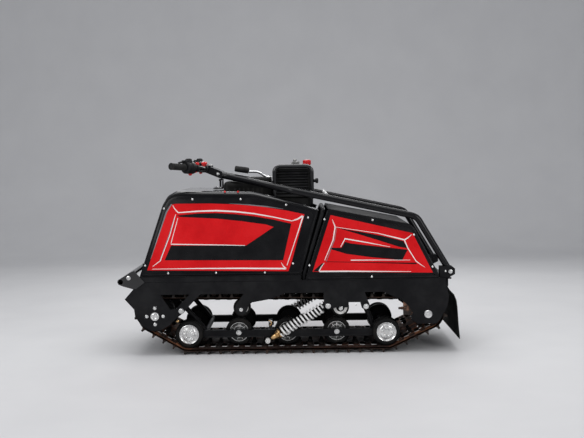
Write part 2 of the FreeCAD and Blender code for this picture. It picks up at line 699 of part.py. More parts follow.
def build_engine():
    """Engine as one closed mass, with what shows above the hood's opening."""
    x = engine_x
    block_low = deck_height + engine_lift
    block_top = deck_height + engine_top
    feet = [box(f"foot_{n}", (x - 600, x - 340), (y - 15, y + 15), (deck_height, block_low))
            for n, y in enumerate((-95, 95))]
    block = box("crankcase", (x - 640, x - 330), (-engine_half, engine_half), (block_low, block_top))
    node("engine_block", fuse("engine_joined", block, *feet))
    cover_top = hood_height + cover_rise
    cowl_top = cover_top + cowl_rise
    cover_outline = [
        (x - 289, block_top), (x - 289, cover_top - 11), (x - 301, cover_top),
        (x - 384, cover_top), (x - 402, cowl_top),
        (x - 496, cowl_top), (x - 506, cowl_top - 9), (x - 506, block_top),
    ]
    node("engine_cover", plate("cover", cover_outline, (-cover_half, cover_half)))
    guard_top = hood_height + guard_rise
    guard_outline = [
        (x - 520, block_top), (x - 520, guard_top - 14), (x - 534, guard_top),
        (x - 660, guard_top), (x - 674, guard_top - 14), (x - 674, block_top + 40),
        (x - 640, block_top),
    ]
    node("muffler_guard", plate("guard", guard_outline, (5, 95)))
    tank_outline = [
        (x - 520, block_top), (x - 520, guard_top - 20), (x - 545, guard_top - 2),
        (x - 682, guard_top - 2), (x - 688, guard_top - 8), (x - 688, block_top),
    ]
    node("fuel_tank", plate("tank", tank_outline, (-150, -5)))
    cap = doc.addObject("Part::Cylinder", "cap")
    bind(cap, Radius=filler_radius, Height=filler_height, Placement__Base__x=x - 662, Placement__Base__y=-60,
         Placement__Base__z=guard_top - 2)
    node("filler_cap", cap)
    hoop_y = 107
    hoop = [
        (x - 517, hoop_y, block_top), (x - 517, hoop_y, guard_top + 8),
        (x - 682, hoop_y, guard_top + 8), (x - 682, hoop_y, block_top + 50),
    ]
    node("guard_frame", bent_tube("guard_tube", hoop, guard_tube_radius, None, 26))
    rest_top = arm_height(clamp_rear) - clamp_half_height - fit_gap
    rest = [
        box("rest_post", (clamp_rear, clamp_rear + 16), (-20, 20), (hood_height, rest_top)),
        box("rest_foot", (clamp_rear - 1, clamp_rear + 42), (-45, 45), (hood_height, hood_height + 4)),
    ]
    node("tiller_rest", fuse("rest_joined", *rest))
    rod = bent_tube("lever_rod", [
        (x - 488, lever_side, cowl_top), (x - 488, lever_side, cowl_top + 9),
        (x - 450, lever_side, cowl_top + 23), (x - 400, lever_side, cowl_top + 23.5)], lever_radius, None, 6)
    grip = rod_between("lever_grip", (x - 402, lever_side, cowl_top + 27),
                       (x - 337, lever_side, cowl_top + 39), lever_grip_radius)
    node("reverse_lever", fuse("lever_joined", rod, grip))


def ring(name, x, z, y, radius, bore):
    """A wheel or disc with its bore, between the pair of limits y."""
    return cut(name, across(f"{name}_disc", x, z, y, radius), across(f"{name}_bore", x, z, y, bore))


def build_drive():
    """Drive shaft with its sprockets and bearings, and the rear idlers."""
    y_end = plate_outer + cap_length
    shaft = across("shaft", drive_x, drive_height, (-plate_outer, plate_outer), shaft_radius)
    caps = [across(f"shaft_cap_{n}", drive_x, drive_height, limits, shaft_radius + 3)
            for n, limits in enumerate(((plate_outer, y_end), (-y_end, -plate_outer)))]
    node("drive_shaft", fuse("shaft_joined", shaft, *caps))
    sprocket_radius = drive_radius - fit_gap
    sprocket_sides = (sprocket_inner, sprocket_inner + sprocket_width)
    sprocket = ring("sprocket", drive_x, drive_height, sprocket_sides, sprocket_radius, shaft_radius)
    node("drive_sprockets", both("sprockets", sprocket))
    bearing_sides = (plate_inner - bearing_width, plate_inner)
    bearing = ring("bearing", drive_x, drive_height, bearing_sides, bearing_radius, shaft_radius)
    node("drive_bearings", both("bearings", bearing))
    idler = ring("idler", idler_x, idler_height, (idler_inner, idler_inner + idler_width),
                 idler_radius - fit_gap, axle_radius)
    node("idler_wheels", both("idlers", idler))


def build_running_gear():
    """Slide beams with their wheels and axles, hung on two swing arms and two shocks."""
    beam_in = half_track - beam_inset
    beam_out = beam_in + beam_thickness
    beam_half = beam_depth / 2
    beam = box("beam", (last_wheel_x - 18, first_wheel_x + 18), (beam_in, beam_out),
               (wheel_height - beam_half, wheel_height + beam_half))
    lower_front = (arm_pivot[0] - 92, wheel_height)
    lower_rear = (rear_arm_pivot[0] - 44, wheel_height)
    bores = [across(f"beam_bore_{n}", x, wheel_height, (beam_in, beam_out), axle_radius)
             for n, x in enumerate(wheel_places)]
    node("slide_beams", both("beams", cut("beam", beam, *bores)))
    wheel_out = beam_out + wheel_gap + wheel_width
    outer_y = (beam_out + wheel_gap, wheel_out)
    inner_y = (beam_in - wheel_gap - wheel_width, beam_in - wheel_gap)
    tread_radius = wheel_radius - fit_gap
    wheels = []
    for number, x in enumerate(wheel_places):
        outside = number in (0, len(wheel_places) - 1)
        wheels.append(ring(f"wheel_{number}", x, wheel_height, outer_y if outside else inner_y,
                           tread_radius, axle_radius))
    left_wheels = group("wheels_left", *wheels)
    node("road_wheels", both("wheels", left_wheels))
    rods = []
    for number, x in enumerate(wheel_places):
        reach = wheel_out if number in (0, len(wheel_places) - 1) else beam_out
        rods.append(across(f"wheel_axle_{number}", x, wheel_height, (-reach, reach), axle_radius))
    idler_end = plate_outer + axle_end
    rods.append(across("idler_axle", idler_x, idler_height, (-idler_end, idler_end), axle_radius))
    for number, (x, z) in enumerate(return_places):
        rods.append(across(f"roller_axle_{number}", x, z, (-plate_inner, plate_inner), pin_radius))
    node("axles", group("axle_group", *rods))
    roller_out = half_track - roller_inset
    rollers = [ring(f"roller_{n}", x, z, (roller_out - roller_width, roller_out), return_radius, pin_radius)
               for n, (x, z) in enumerate(return_places)]
    node("return_rollers", both("rollers", group("rollers_left", *rollers)))
    for name, top, low in (("front", arm_pivot, lower_front), ("rear", rear_arm_pivot, lower_rear)):
        arm_y = beam_in - 36
        arms = [rod_between(f"{name}_arm_{n}", (top[0], y, top[1]), (low[0], y, low[1]), swing_tube_radius)
                for n, y in enumerate((arm_y, -arm_y))]
        pivot = across(f"{name}_pivot", top[0], top[1], (-plate_inner, plate_inner), swing_pivot_radius)
        foot = across(f"{name}_foot", low[0], low[1], (-beam_in, beam_in), swing_tube_radius)
        node(f"{name}_swing_arm", fuse(f"{name}_arms", pivot, foot, *arms))
    shock_y = half_track - shock_inset
    low = (wheel_places[2] + wheel_radius + 26, wheel_height - 29)
    ends = [across(f"shock_eye_{n}", x, z, (shock_y - eye_half, shock_y + eye_half), eye_radius)
            for n, (x, z) in enumerate((shock_top, low))]
    strut = rod_between("shock_strut", (shock_top[0], shock_y, shock_top[1]), (low[0], shock_y, low[1]),
                        strut_radius)
    run = [low[0] - shock_top[0], low[1] - shock_top[1]]
    coil_start = (shock_top[0] + run[0] * 0.1, shock_y, shock_top[1] + run[1] * 0.1)
    coil_end = (shock_top[0] + run[0] * 0.78, shock_y, shock_top[1] + run[1] * 0.78)
    coil = rod_between("shock_coil", coil_start, coil_end, spring_radius)
    joined = fuse("shock_joined", strut, coil, *ends)
    node("shock_left", joined)
    node("shock_right", mirror("shock_mirror", joined))
    top_pin = across("shock_pin_top", *shock_top, (shock_y + eye_half, plate_inner), pin_radius)
    low_pin = across("shock_pin_low", *low, (-shock_y + eye_half, shock_y - eye_half), pin_radius)
    hanger = box("shock_hanger", (low[0] - 12, low[0] + 12), (beam_in, beam_out),
                 (low[1] - 10, wheel_height - beam_half))
    low_part = fuse("shock_low_mount", low_pin, hanger, mirror("shock_hanger_right", hanger))
    node("shock_mounts", group("shock_mount_group", top_pin, mirror("shock_pin_right", top_pin), low_part))


def build_tiller():
    """Folding tiller: two bent tubes, a cross tube, and the handlebar with its controls."""
    neck_x = clamp_rear - 28
    tip_x = clamp_rear + 8
    path = [
        (pivot_x, arm_spread, pivot_height), (bend_x, arm_spread, bend_z),
        (part_x, arm_spread, part_z), (neck_x, 58, arm_height(neck_x)),
        (tip_x, 46, arm_height(tip_x)),
    ]
    clamp_side = box("arm_end_tool", (clamp_rear, clamp_rear + clamp_length), (0, arm_spread),
                     (deck_height, arm_height(tip_x) + clamp_length))
    tube = cut("arm_trimmed", bent_tube("arm", path, arm_radius, tube_wall, 55), clamp_side)
    boss_half = arm_radius + ear_gap / 2
    boss_width = (arm_spread - boss_half, arm_spread + boss_half)
    boss = across("arm_boss", pivot_x, pivot_height, boss_width, arm_radius + 2)
    eye = across("arm_eye", pivot_x, pivot_height, boss_width, pin_radius + pin_clearance)
    arm = cut("arm_bored", fuse("arm_joined", tube, boss), eye)
    node("tiller_arm_left", arm)
    node("tiller_arm_right", mirror("arm_mirror", arm))
    inside = arm_spread - arm_radius
    cross_x = hood_rear_top - crossbar_back
    cross_z = part_z + (cross_x - part_x) * rear_slope + crossbar_lift
    crossbar = across("crossbar", cross_x, cross_z, (-inside, inside), crossbar_radius)
    node("tiller_crossbar", crossbar)
    clamp_z = arm_height(clamp_rear)
    clamp_front = clamp_rear + clamp_length
    clamp_block = plate("clamp_block", [
        (clamp_rear, clamp_z - clamp_half_height), (clamp_rear, clamp_z + clamp_half_height),
        (clamp_front, clamp_z + clamp_climb + clamp_half_height),
        (clamp_front, clamp_z + clamp_climb - clamp_half_height),
    ], (-clamp_half_width, clamp_half_width))
    bar_x = clamp_rear + bar_ahead
    bar_z = clamp_z + bar_lift
    clamp_bore = across("clamp_bore", bar_x, bar_z, (-clamp_half_width, clamp_half_width), bar_radius)
    node("handlebar_clamp", cut("clamp", clamp_block, clamp_bore))
    sweep_x = bar_x + bar_sweep
    rise_z = bar_z + bar_rise
    bar_path = [
        (sweep_x, bar_half, rise_z), (bar_x, bar_flat, bar_z),
        (bar_x, -bar_flat, bar_z), (sweep_x, -bar_half, rise_z),
    ]
    node("handlebar", bent_tube("bar", bar_path, bar_radius, bar_wall, 60))
    build_grips((bar_x, bar_flat, bar_z), (sweep_x, bar_half, rise_z))


def build_grips(inner, outer):
    """Grips and control bodies on the handlebar's swept ends."""
    run = [size(b) - a for a, b in zip(inner, outer)]

    def along(share):
        return tuple(size(a) + part * share for a, part in zip(inner, run))

    grip = rod_between("grip", along(0.6), along(1), grip_radius)
    bore = rod_between("grip_bore", along(0.59), along(1.01), bar_radius)
    grip_left = cut("grip", grip, bore)
    node("grips", both("grip_pair", grip_left))
    body = rod_between("control", along(0.34), along(0.58), control_radius)
    foot = along(0.46)
    perch_top = (foot[0], foot[1], foot[2] + perch_height)
    perch = rod_between("perch", foot, perch_top, perch_radius)
    hole = rod_between("control_bore", along(0.25), along(0.66), bar_radius)
    control = cut("control", fuse("control_joined", body, perch), hole)
    node("control_left", control)
    node("control_right", mirror("control_mirror", control))


deck_front, deck_rear = build_frame()
build_side_plates()
build_front()
build_rear(deck_rear)
build_hoods()
build_engine()
build_track()
build_drive()
build_running_gear()
build_tiller()

doc.recompute()
for thing in doc.Objects:
    if "Invalid" in thing.State or "Error" in thing.State:
        raise SystemExit(f"{thing.Label}: {thing.State}")

os.makedirs("parts", exist_ok=True)
for thing in nodes:
    shape = thing.Shape
    if shape.isNull() or not shape.isValid() or not shape.Solids:
        raise SystemExit(f"{thing.Label} has no valid solid")
    shape.exportStep(f"parts/{thing.Label}.step")
print(len(nodes), "sub-parts written")
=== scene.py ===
import math

import bpy
from mathutils import Matrix, Vector


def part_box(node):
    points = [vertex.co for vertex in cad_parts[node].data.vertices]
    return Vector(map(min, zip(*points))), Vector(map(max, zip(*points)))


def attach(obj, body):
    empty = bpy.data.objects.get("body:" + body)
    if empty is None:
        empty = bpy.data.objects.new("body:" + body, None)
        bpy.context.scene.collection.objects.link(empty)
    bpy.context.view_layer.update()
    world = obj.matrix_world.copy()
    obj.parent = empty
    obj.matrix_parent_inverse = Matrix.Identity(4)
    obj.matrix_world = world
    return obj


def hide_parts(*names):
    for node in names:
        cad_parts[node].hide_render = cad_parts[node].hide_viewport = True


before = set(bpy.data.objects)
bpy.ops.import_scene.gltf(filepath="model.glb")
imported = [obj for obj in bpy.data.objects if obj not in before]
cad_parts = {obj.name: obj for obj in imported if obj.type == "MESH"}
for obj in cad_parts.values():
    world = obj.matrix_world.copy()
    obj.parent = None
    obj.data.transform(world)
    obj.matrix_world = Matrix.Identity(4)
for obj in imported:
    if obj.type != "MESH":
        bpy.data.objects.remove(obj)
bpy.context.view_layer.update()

# ---------------------------------------------------------------- camera, floor and light
# The machine stands on a pale studio floor that rises into a backdrop. A large soft box hangs
# over it, one stands on each side in front, and a strip lights its back.

MM = 0.001


def added(name, data):
    """A new object in the scene."""
    thing = bpy.data.objects.new(name, data)
    bpy.context.scene.collection.objects.link(thing)
    return thing


def sheet_of(name, corners, faces):
    """A new object out of corners and faces."""
    mesh = bpy.data.meshes.new(name)
    mesh.from_pydata(corners, [], faces)
    return added(name, mesh)


def look_from(place, right, up, lens):
    """The camera, given by its place and the two directions of its picture."""
    data = bpy.data.cameras.new("camera")
    data.lens = lens
    data.sensor_width = 36
    camera = added("camera", data)
    right = Vector(right).normalized()
    back = right.cross(Vector(up)).normalized()
    turn = Matrix((right, back.cross(right), back)).transposed().to_4x4()
    camera.matrix_world = Matrix.Translation(Vector(place)) @ turn
    bpy.context.scene.camera = camera


look_from((-0.0621, 4.0878, 0.8419), (-0.99982, -0.01082, -0.01593), (-0.01516, -0.06783, 0.99758),
    55.6)

soft_boxes = (
    ("over", (0.1, 0.3, 3.0), (0, 0, 0.3), (3.2, 2.0), 52),
    ("front_left", (2.6, 3.4, 2.2), (0.1, 0, 0.3), (1.8, 1.8), 48),
    ("front_right", (-2.9, 3.2, 1.9), (-0.1, 0, 0.3), (1.6, 1.6), 34),
    ("back_strip", (-0.4, -2.4, 2.1), (0, 0, 0.5), (3.2, 0.7), 30),
)
for name, place, target, size, power in soft_boxes:
    data = bpy.data.lights.new(name, "AREA")
    data.shape = "RECTANGLE"
    data.size, data.size_y = size
    data.energy = power
    lamp = added(name, data)
    lamp.location = place
    lamp.rotation_euler = (Vector(target) - Vector(place)).to_track_quat("-Z", "Y").to_euler()


def put(node, **values):
    """Sets a node's inputs, their names written with underscores."""
    for name, value in values.items():
        node.inputs[name.replace("_", " ")].default_value = value
    return node


def mottled(name, colours, grain, detail, first=0.0, extent=1.0, broken=0.5):
    """A material coloured by a noise that is fixed to the piece, and a maker of more noise."""
    material = bpy.data.materials.new(name)
    material.use_nodes = True
    nodes = material.node_tree.nodes
    links = material.node_tree.links
    place = nodes.new("ShaderNodeTexCoord")

    def noise(scale, detail, broken=0.5):
        texture = put(nodes.new("ShaderNodeTexNoise"), Scale=scale, Detail=detail, Roughness=broken)
        links.new(place.outputs["Object"], texture.inputs["Vector"])
        return texture.outputs["Fac"]

    tone = nodes.new("ShaderNodeValToRGB")
    shades = tone.color_ramp.elements
    while len(shades) < len(colours):
        shades.new(0.5)
    for number, colour in enumerate(colours):
        shades[number].position = first + extent * number / (len(colours) - 1)
        shades[number].color = (*colour, 1)
    links.new(noise(grain, detail, broken), tone.inputs["Fac"])
    links.new(tone.outputs["Color"], nodes["Principled BSDF"].inputs["Base Color"])
    return material, noise


def build_studio():
    """Floor, curved rise and back wall as one sheet, and the room's own light."""
    wide, bend, back, height = 60.0, 1.6, -3.4, 5.5
    path = [(wide, 0.0)]
    for step in range(13):
        turn = math.radians(90 * step / 12)
        path.append((back - bend * math.sin(turn), bend * (1 - math.cos(turn))))
    path.append((back - bend, height))
    corners = [(side * wide, y, z) for y, z in path for side in (-1, 1)]
    strips = [(2 * n, 2 * n + 1, 2 * n + 3, 2 * n + 2) for n in range(len(path) - 1)]
    studio = sheet_of("studio_floor", corners, strips)
    studio.data.polygons.foreach_set("use_smooth", [True] * len(strips))
    paper = mottled("studio_paper", [(0.60, 0.60, 0.61), (0.68, 0.68, 0.685)], 3.0, 8)[0]
    put(paper.node_tree.nodes["Principled BSDF"], Roughness=0.75)
    studio.data.materials.append(paper)
    world = bpy.context.scene.world or bpy.data.worlds.new("room")
    bpy.context.scene.world = world
    world.use_nodes = True
    put(world.node_tree.nodes["Background"], Color=(0.93, 0.95, 1.0, 1), Strength=0.42)


build_studio()
bpy.context.scene.view_settings.view_transform = "Standard"

# ---------------------------------------------------------------- powder-coated steel
# Side plates, deck, box tubes, hoop, rear member, hitch, swing arms and tiller tubes are sheet
# and tube, welded and sprayed satin black. They are as the frame gives them, with the paint's
# orange peel, its dust and its duller patches.


def finish(name, colours, grain, roughness, bump, metallic=0.0, coat=0.0, bump_grain=None,
        shine=0.5):
    """A material of mottled colour, uneven gloss and a fine relief.

    colours run from the darkest to the palest patches, grain is patches in a metre,
    roughness the pair of its limits, and bump the relief's depth in millimetres."""
    material, noise = mottled(name, colours, grain, 7, 0.32, 0.36, 0.62)
    nodes = material.node_tree.nodes
    links = material.node_tree.links
    shader = put(nodes["Principled BSDF"], Metallic=metallic, Coat_Weight=coat, Coat_Roughness=0.08,
        Specular_IOR_Level=shine)
    low, high = roughness
    gloss = put(nodes.new("ShaderNodeMapRange"), From_Min=0.3, From_Max=0.7, To_Min=low,
        To_Max=high)
    links.new(noise(grain * 2.3, 5), gloss.inputs["Value"])
    links.new(gloss.outputs["Result"], shader.inputs["Roughness"])
    relief = put(nodes.new("ShaderNodeBump"), Strength=0.5, Distance=bump * MM)
    links.new(noise(bump_grain or grain * 30, 3), relief.inputs["Height"])
    links.new(relief.outputs["Normal"], shader.inputs["Normal"])
    return material


def repaint(material, *names):
    """Gives CAD nodes that stay as they are their finish."""
    for name in names:
        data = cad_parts[name].data
        data.materials.clear()
        data.materials.append(material)


powder_coat = finish("powder_coat", [(0.004, 0.004, 0.005), (0.008, 0.008, 0.009),
    (0.015, 0.015, 0.016)], 9, (0.3, 0.46), 0.12, bump_grain=900, shine=0.11)
repaint(powder_coat, "side_plate_left", "side_plate_right", "deck", "frame_members", "centre_hoop",
    "rear_member", "tow_hitch", "tiller_rest", "slide_beams", "front_swing_arm", "rear_swing_arm",
    "shock_mounts")
gloss_shades = [(0.003, 0.003, 0.004), (0.007, 0.007, 0.008)]
tube_gloss = finish("tube_gloss", gloss_shades, 12, (0.14, 0.28), 0.05, coat=0.1, bump_grain=700,
    shine=0.2)
repaint(tube_gloss, "tiller_arm_left", "tiller_arm_right", "handlebar", "handlebar_clamp")
guard_gloss = finish("guard_gloss", gloss_shades, 12, (0.08, 0.16), 0.04, coat=0.4, bump_grain=700,
    shine=0.5)
repaint(guard_gloss, "guard_frame", "front_bumper")
zinc = finish("zinc_plate", [(0.55, 0.55, 0.54), (0.72, 0.72, 0.71), (0.83, 0.83, 0.82)], 30,
    (0.22, 0.42), 0.08, metallic=1.0, bump_grain=1500)
repaint(zinc, "axles", "drive_shaft", "tiller_crossbar")
cast_iron = finish("cast_iron", [(0.05, 0.05, 0.052), (0.12, 0.11, 0.10)], 40, (0.5, 0.75), 0.4)
repaint(cast_iron, "drive_bearings")
engine_paint = finish("engine_paint", [(0.006, 0.006, 0.006), (0.018, 0.018, 0.017)], 14,
    (0.35, 0.55), 0.3, shine=0.11)
repaint(engine_paint, "engine_block")

# ---------------------------------------------------------------- rubber track
# One closed rubber belt with windows for the sprockets and steel guide clips between them,
# lugs outside and drive blocks inside. It is laid out flat, one pitch repeated, and then
# wrapped round the sprockets, road wheels and idlers. Snow and rust have dusted it brown;
# the paler orange inside its ends is partly a painted highlight.


def span(name):
    """A node's lowest and highest corners in millimetres."""
    low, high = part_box(name)
    return Vector(low) / MM, Vector(high) / MM


SEAT = 0.3
sprocket_low, sprocket_high = span("drive_sprockets")
idler_low, idler_high = span("idler_wheels")
wheels_low, wheels_high = span("road_wheels")
track_low, track_high = span("track")
drive_centre = Vector(((sprocket_low.x + sprocket_high.x) / 2, 0,
    (sprocket_low.z + sprocket_high.z) / 2))
idler_centre = Vector(((idler_low.x + idler_high.x) / 2, 0, (idler_low.z + idler_high.z) / 2))
drive_radius = (sprocket_high.z - sprocket_low.z) / 2
idler_radius = (idler_high.z - idler_low.z) / 2
wheel_radius = (wheels_high.z - wheels_low.z) / 2
wheel_z = (wheels_high.z + wheels_low.z) / 2
first_wheel = Vector((wheels_high.x - wheel_radius, 0, wheel_z))
last_wheel = Vector((wheels_low.x + wheel_radius, 0, wheel_z))
belt = 6.5
drawn_pitch = 50.5
lug_reach = wheels_low.z - SEAT - belt - track_low.z
track_half = track_high.y


def loop_runs():
    """Arcs and straight runs of the belt's inside, in order, with their lengths."""
    circles = [(drive_centre, drive_radius + SEAT), (idler_centre, idler_radius + SEAT),
        (last_wheel, wheel_radius + SEAT), (first_wheel, wheel_radius + SEAT)]
    headings = []
    for (centre, radius), (after, radius_after) in zip(circles, circles[1:] + circles[:1]):
        gap = math.hypot(after.x - centre.x, after.z - centre.z)
        bearing = math.atan2(after.z - centre.z, after.x - centre.x)
        headings.append(bearing - math.acos((radius - radius_after) / gap))
    runs = []
    for number, (centre, radius) in enumerate(circles):
        start = headings[number - 1]
        stop = headings[number]
        while stop < start:
            stop += 2 * math.pi
        runs.append(("arc", centre, radius, start, (stop - start) * (radius + belt / 2)))
        after, radius_after = circles[(number + 1) % 4]
        out = Vector((math.cos(stop), 0, math.sin(stop)))
        here = centre + out * radius
        there = after + out * radius_after
        runs.append(("line", here, there, out, (there - here).length))
    return runs


belt_runs = loop_runs()
belt_length = sum(run[-1] for run in belt_runs)
pitches = round(belt_length / drawn_pitch)
pitch = belt_length / pitches


def wrap_round(flat):
    """Bends a piece laid out along X, with its height in Z, round the loop."""
    for vertex in flat.data.vertices:
        along, across, height = vertex.co / MM
        along %= belt_length
        for kind, first, second, third, length in belt_runs:
            if along <= length + 1e-6:
                break
            along -= length
        if kind == "arc":
            turn = third + along / (second + belt / 2)
            out = Vector((math.cos(turn), 0, math.sin(turn)))
            place = first + out * (second + height)
        else:
            place = first.lerp(second, along / length) + third * height
        vertex.co = Vector((place.x, across, place.z)) * MM


def moved(place):
    """A move to a place."""
    return Matrix.Translation(Vector(place) * MM)


def select(*pieces):
    """Selects pieces and nothing else, the first one active."""
    bpy.ops.object.select_all(action="DESELECT")
    for piece in pieces:
        piece.select_set(True)
    bpy.context.view_layer.objects.active = pieces[0]


def leave():
    bpy.ops.object.mode_set(mode="OBJECT")


def edit(piece, pick=None):
    """Opens a piece in edit mode with all of it or the picked faces selected."""
    select(piece)
    bpy.ops.object.mode_set(mode="EDIT")
    bpy.ops.mesh.select_mode(type="FACE")
    bpy.ops.mesh.select_all(action="DESELECT" if pick else "SELECT")
    if pick:
        leave()
        for face in piece.data.polygons:
            face.select = bool(pick(face))
        bpy.ops.object.mode_set(mode="EDIT")


def close(piece, smooth=None):
    """Leaves edit mode with the normals outwards, and shades smooth up to an angle."""
    bpy.ops.mesh.select_all(action="SELECT")
    bpy.ops.mesh.normals_make_consistent(inside=False)
    leave()
    if smooth:
        bpy.ops.object.shade_smooth_by_angle(angle=math.radians(smooth))


def settle(piece, smooth=None):
    edit(piece)
    close(piece, smooth)


def extrude(x=0, y=0, z=0):
    """Extrudes the selected faces."""
    bpy.ops.mesh.extrude_region_move(TRANSFORM_OT_translate={"value": (x * MM, y * MM, z * MM)})


def taper(piece, pick, x, y=1):
    """Draws the picked faces together."""
    edit(piece, pick)
    bpy.ops.transform.resize(value=(x, y, 1))
    leave()


def inset(piece, pick, thickness, depth):
    """Sinks the picked faces within a border."""
    edit(piece, pick)
    bpy.ops.mesh.inset(thickness=thickness * MM, depth=depth * MM)
    leave()


def modify(piece, kind, **settings):
    """Adds a modifier and applies it."""
    modifier = piece.modifiers.new(kind.lower(), kind)
    for name, value in settings.items():
        setattr(modifier, name, value)
    select(piece)
    bpy.ops.object.modifier_apply(modifier=modifier.name)


def thicken(piece, thickness, offset=1):
    modify(piece, "SOLIDIFY", thickness=thickness * MM, offset=offset)


def grid(columns, rows, place):
    """A sheet of columns and rows, each corner where place puts it."""
    bpy.ops.mesh.primitive_grid_add(x_subdivisions=columns, y_subdivisions=rows, size=1)
    sheet = bpy.context.object
    for number, vertex in enumerate(sheet.data.vertices):
        vertex.co = Vector(place(*divmod(number, columns + 1))) * MM
    return sheet


def block(low, high, bevel=0.0, segments=2):
    """A rectangular blank between two corners, its edges rounded."""
    low = Vector(low)
    high = Vector(high)
    bpy.ops.mesh.primitive_cube_add(size=1)
    piece = bpy.context.object
    size = Matrix.Diagonal((*((high - low) * MM), 1))
    piece.data.transform(moved((high + low) / 2) @ size)
    if bevel:
        edit(piece)
        bpy.ops.mesh.bevel(offset=bevel * MM, segments=segments, affect="EDGES")
        close(piece, 40)
    return piece


def lay_out(piece):
    """Repeats a piece along X at every pitch and wraps the row round the loop."""
    modify(piece, "ARRAY", count=pitches, use_relative_offset=False, use_constant_offset=True,
           constant_offset_displace=(pitch * MM, 0, 0))
    wrap_round(piece)
    settle(piece, 35)


def join(pieces):
    """One piece out of several."""
    select(*pieces)
    if len(pieces) > 1:
        bpy.ops.object.join()
    return pieces[0]


def fit(name, pieces, slot, material, *nodes, body="chassis"):
    """Makes one finished piece and hangs it on its body, with the nodes it stands for."""
    piece = join(pieces)
    piece.name = name
    piece.data.name = name
    piece.data.materials.clear()
    piece.data.materials.append(material)
    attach(piece, body)
    if nodes:
        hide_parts(*nodes)


track_rubber = finish("track_rubber", [(0.008, 0.007, 0.007), (0.018, 0.014, 0.012),
    (0.055, 0.032, 0.022)], 16, (0.55, 0.85), 0.6, bump_grain=260, shine=0.3)
belt_inside = finish("belt_inside", [(0.010, 0.006, 0.005), (0.028, 0.012, 0.009),
    (0.085, 0.032, 0.018)], 9, (0.5, 0.8), 0.5, bump_grain=300, shine=0.2)
# Inside faces near both ends: rust dust, and a painted orange highlight where the belt wraps round
# the wheels.
belt_rust_and_highlight = finish("belt_rust_and_highlight", [(0.014, 0.009, 0.007), (0.11, 0.045, 0.024), (0.42, 0.17, 0.08)],
    16, (0.5, 0.8), 0.5, bump_grain=300, shine=0.2)
window_rows = [(78, 124), (140, 176), (202, 232)]
edges = sorted({0.0, track_half, *(value for row in window_rows for value in row)})
cuts_across = [-value for value in reversed(edges) if value] + edges
cuts_along = [0, 9, 17, 25, 33, 41.5]
window_ends = (17, 41)


def build_belt():
    """The belt's sheet with three rows of windows each side, thickened outwards."""

    def place(line, column):
        turn, cut = divmod(column, len(cuts_along))
        return turn * pitch + cuts_along[cut] * pitch / drawn_pitch, cuts_across[line], 0

    def is_window(face):
        along = (face.center.x / MM) % pitch
        across = abs(face.center.y / MM)
        if not window_ends[0] < along < window_ends[1]:
            return False
        return any(low < across < high for low, high in window_rows)

    sheet = grid(pitches * len(cuts_along), len(cuts_across) - 1, place)
    edit(sheet, is_window)
    bpy.ops.mesh.delete(type="FACE")
    leave()
    thicken(sheet, belt)
    last = max(vertex.co.x for vertex in sheet.data.vertices)
    for vertex in sheet.data.vertices:
        if vertex.co.x > last - 1e-6:
            vertex.co.x = belt_length * MM - 1e-7
    wrap_round(sheet)
    edit(sheet)
    bpy.ops.mesh.remove_doubles(threshold=0.00005)
    close(sheet, 50)
    fit("track_belt", [sheet], "track_rubber", track_rubber, "track")
    sheet.data.materials.append(belt_inside)
    sheet.data.materials.append(belt_rust_and_highlight)
    # Beyond this distance from the middle the inside gets the rust and painted highlight.
    rust_and_highlight_from = 430
    middle = Vector((0, 0, (track_high.z + track_low.z) / 2))
    hubs = (drive_centre, idler_centre, first_wheel, last_wheel, middle)
    for face in sheet.data.polygons:
        centre = Vector((face.center.x, 0, face.center.z)) / MM
        nearest = min(hubs, key=lambda hub: (hub - centre).length)
        if face.normal.dot(centre - nearest) < 0:
            face.material_index = 2 if abs(centre.x) > rust_and_highlight_from else 1


build_belt()


def build_edge_bands():
    """The belt's thicker edges, the snow's dirt worn into them."""
    bands = []
    band_width = 26
    band_thickness = 7.9
    steps = pitches * 6
    for side in (-1, 1):
        limits = sorted((side * (track_half - band_width), side * track_half))
        band = grid(steps, 1, lambda line, column: (
            min(column * belt_length / steps, belt_length - 1e-4), limits[line], 0.1))
        thicken(band, band_thickness)
        wrap_round(band)
        settle(band, 50)
        bands.append(band)
    dusty = finish("dusty_rubber", [(0.016, 0.011, 0.009), (0.04, 0.024, 0.018),
        (0.10, 0.058, 0.042)], 22, (0.6, 0.85), 0.4, bump_grain=300, shine=0.2)
    fit("track_edge_bands", bands, "track_rubber", dusty)


build_edge_bands()


def is_top(face):
    return face.normal.z > 0.9


def lug(low, high):
    """A tapered rubber bar across the belt between two places, with a rib at each end."""
    foot = belt - 0.5
    bar = block((10, low, foot), (23, high, belt + lug_reach))
    taper(bar, is_top, 0.5, 0.97)
    inset(bar, is_top, 1.2, -1.5)
    ribs = [block((5, side, foot), (28, side + 9, belt + lug_reach * 0.4))
        for side in (low + 3, high - 12)]
    for rib in ribs:
        taper(rib, is_top, 0.5, 0.6)
    bar = join([bar] + ribs)
    lay_out(bar)
    return bar


fit("track_lugs", [lug(-248, -132), lug(132, 248), lug(-118, 118)], "track_rubber", track_rubber)


def build_drive_blocks():
    """Rounded blocks on the belt's inside that the sprockets' teeth push."""
    places = ((-76, -58), (-138, -126), (58, 76), (126, 138))
    blocks = [block((20, low, -14), (38, high, 0.5)) for low, high in places]
    for piece in blocks:
        taper(piece, lambda face: face.normal.z < -0.9, 0.55, 0.7)
        lay_out(piece)
    # The drive blocks' rubber is painted darker than the belt, as shade under the machine.
    block_shade_rubber = finish("painted_shade_rubber", [(0.003, 0.003, 0.003), (0.007, 0.006, 0.006),
        (0.016, 0.013, 0.012)], 20, (0.6, 0.85), 0.3, shine=0.12)
    fit("track_drive_blocks", blocks, "track_rubber", block_shade_rubber)


build_drive_blocks()
# Pale steel made near-white and not metallic: a painted highlight for clips, roller rings and shock
# eyes that sit in shade.
steel_and_painted_highlight = finish("steel_and_painted_highlight", [(0.56, 0.53, 0.50), (0.84, 0.83, 0.81), (0.92, 0.92, 0.90)], 60,
    (0.2, 0.42), 0.1, bump_grain=1200)


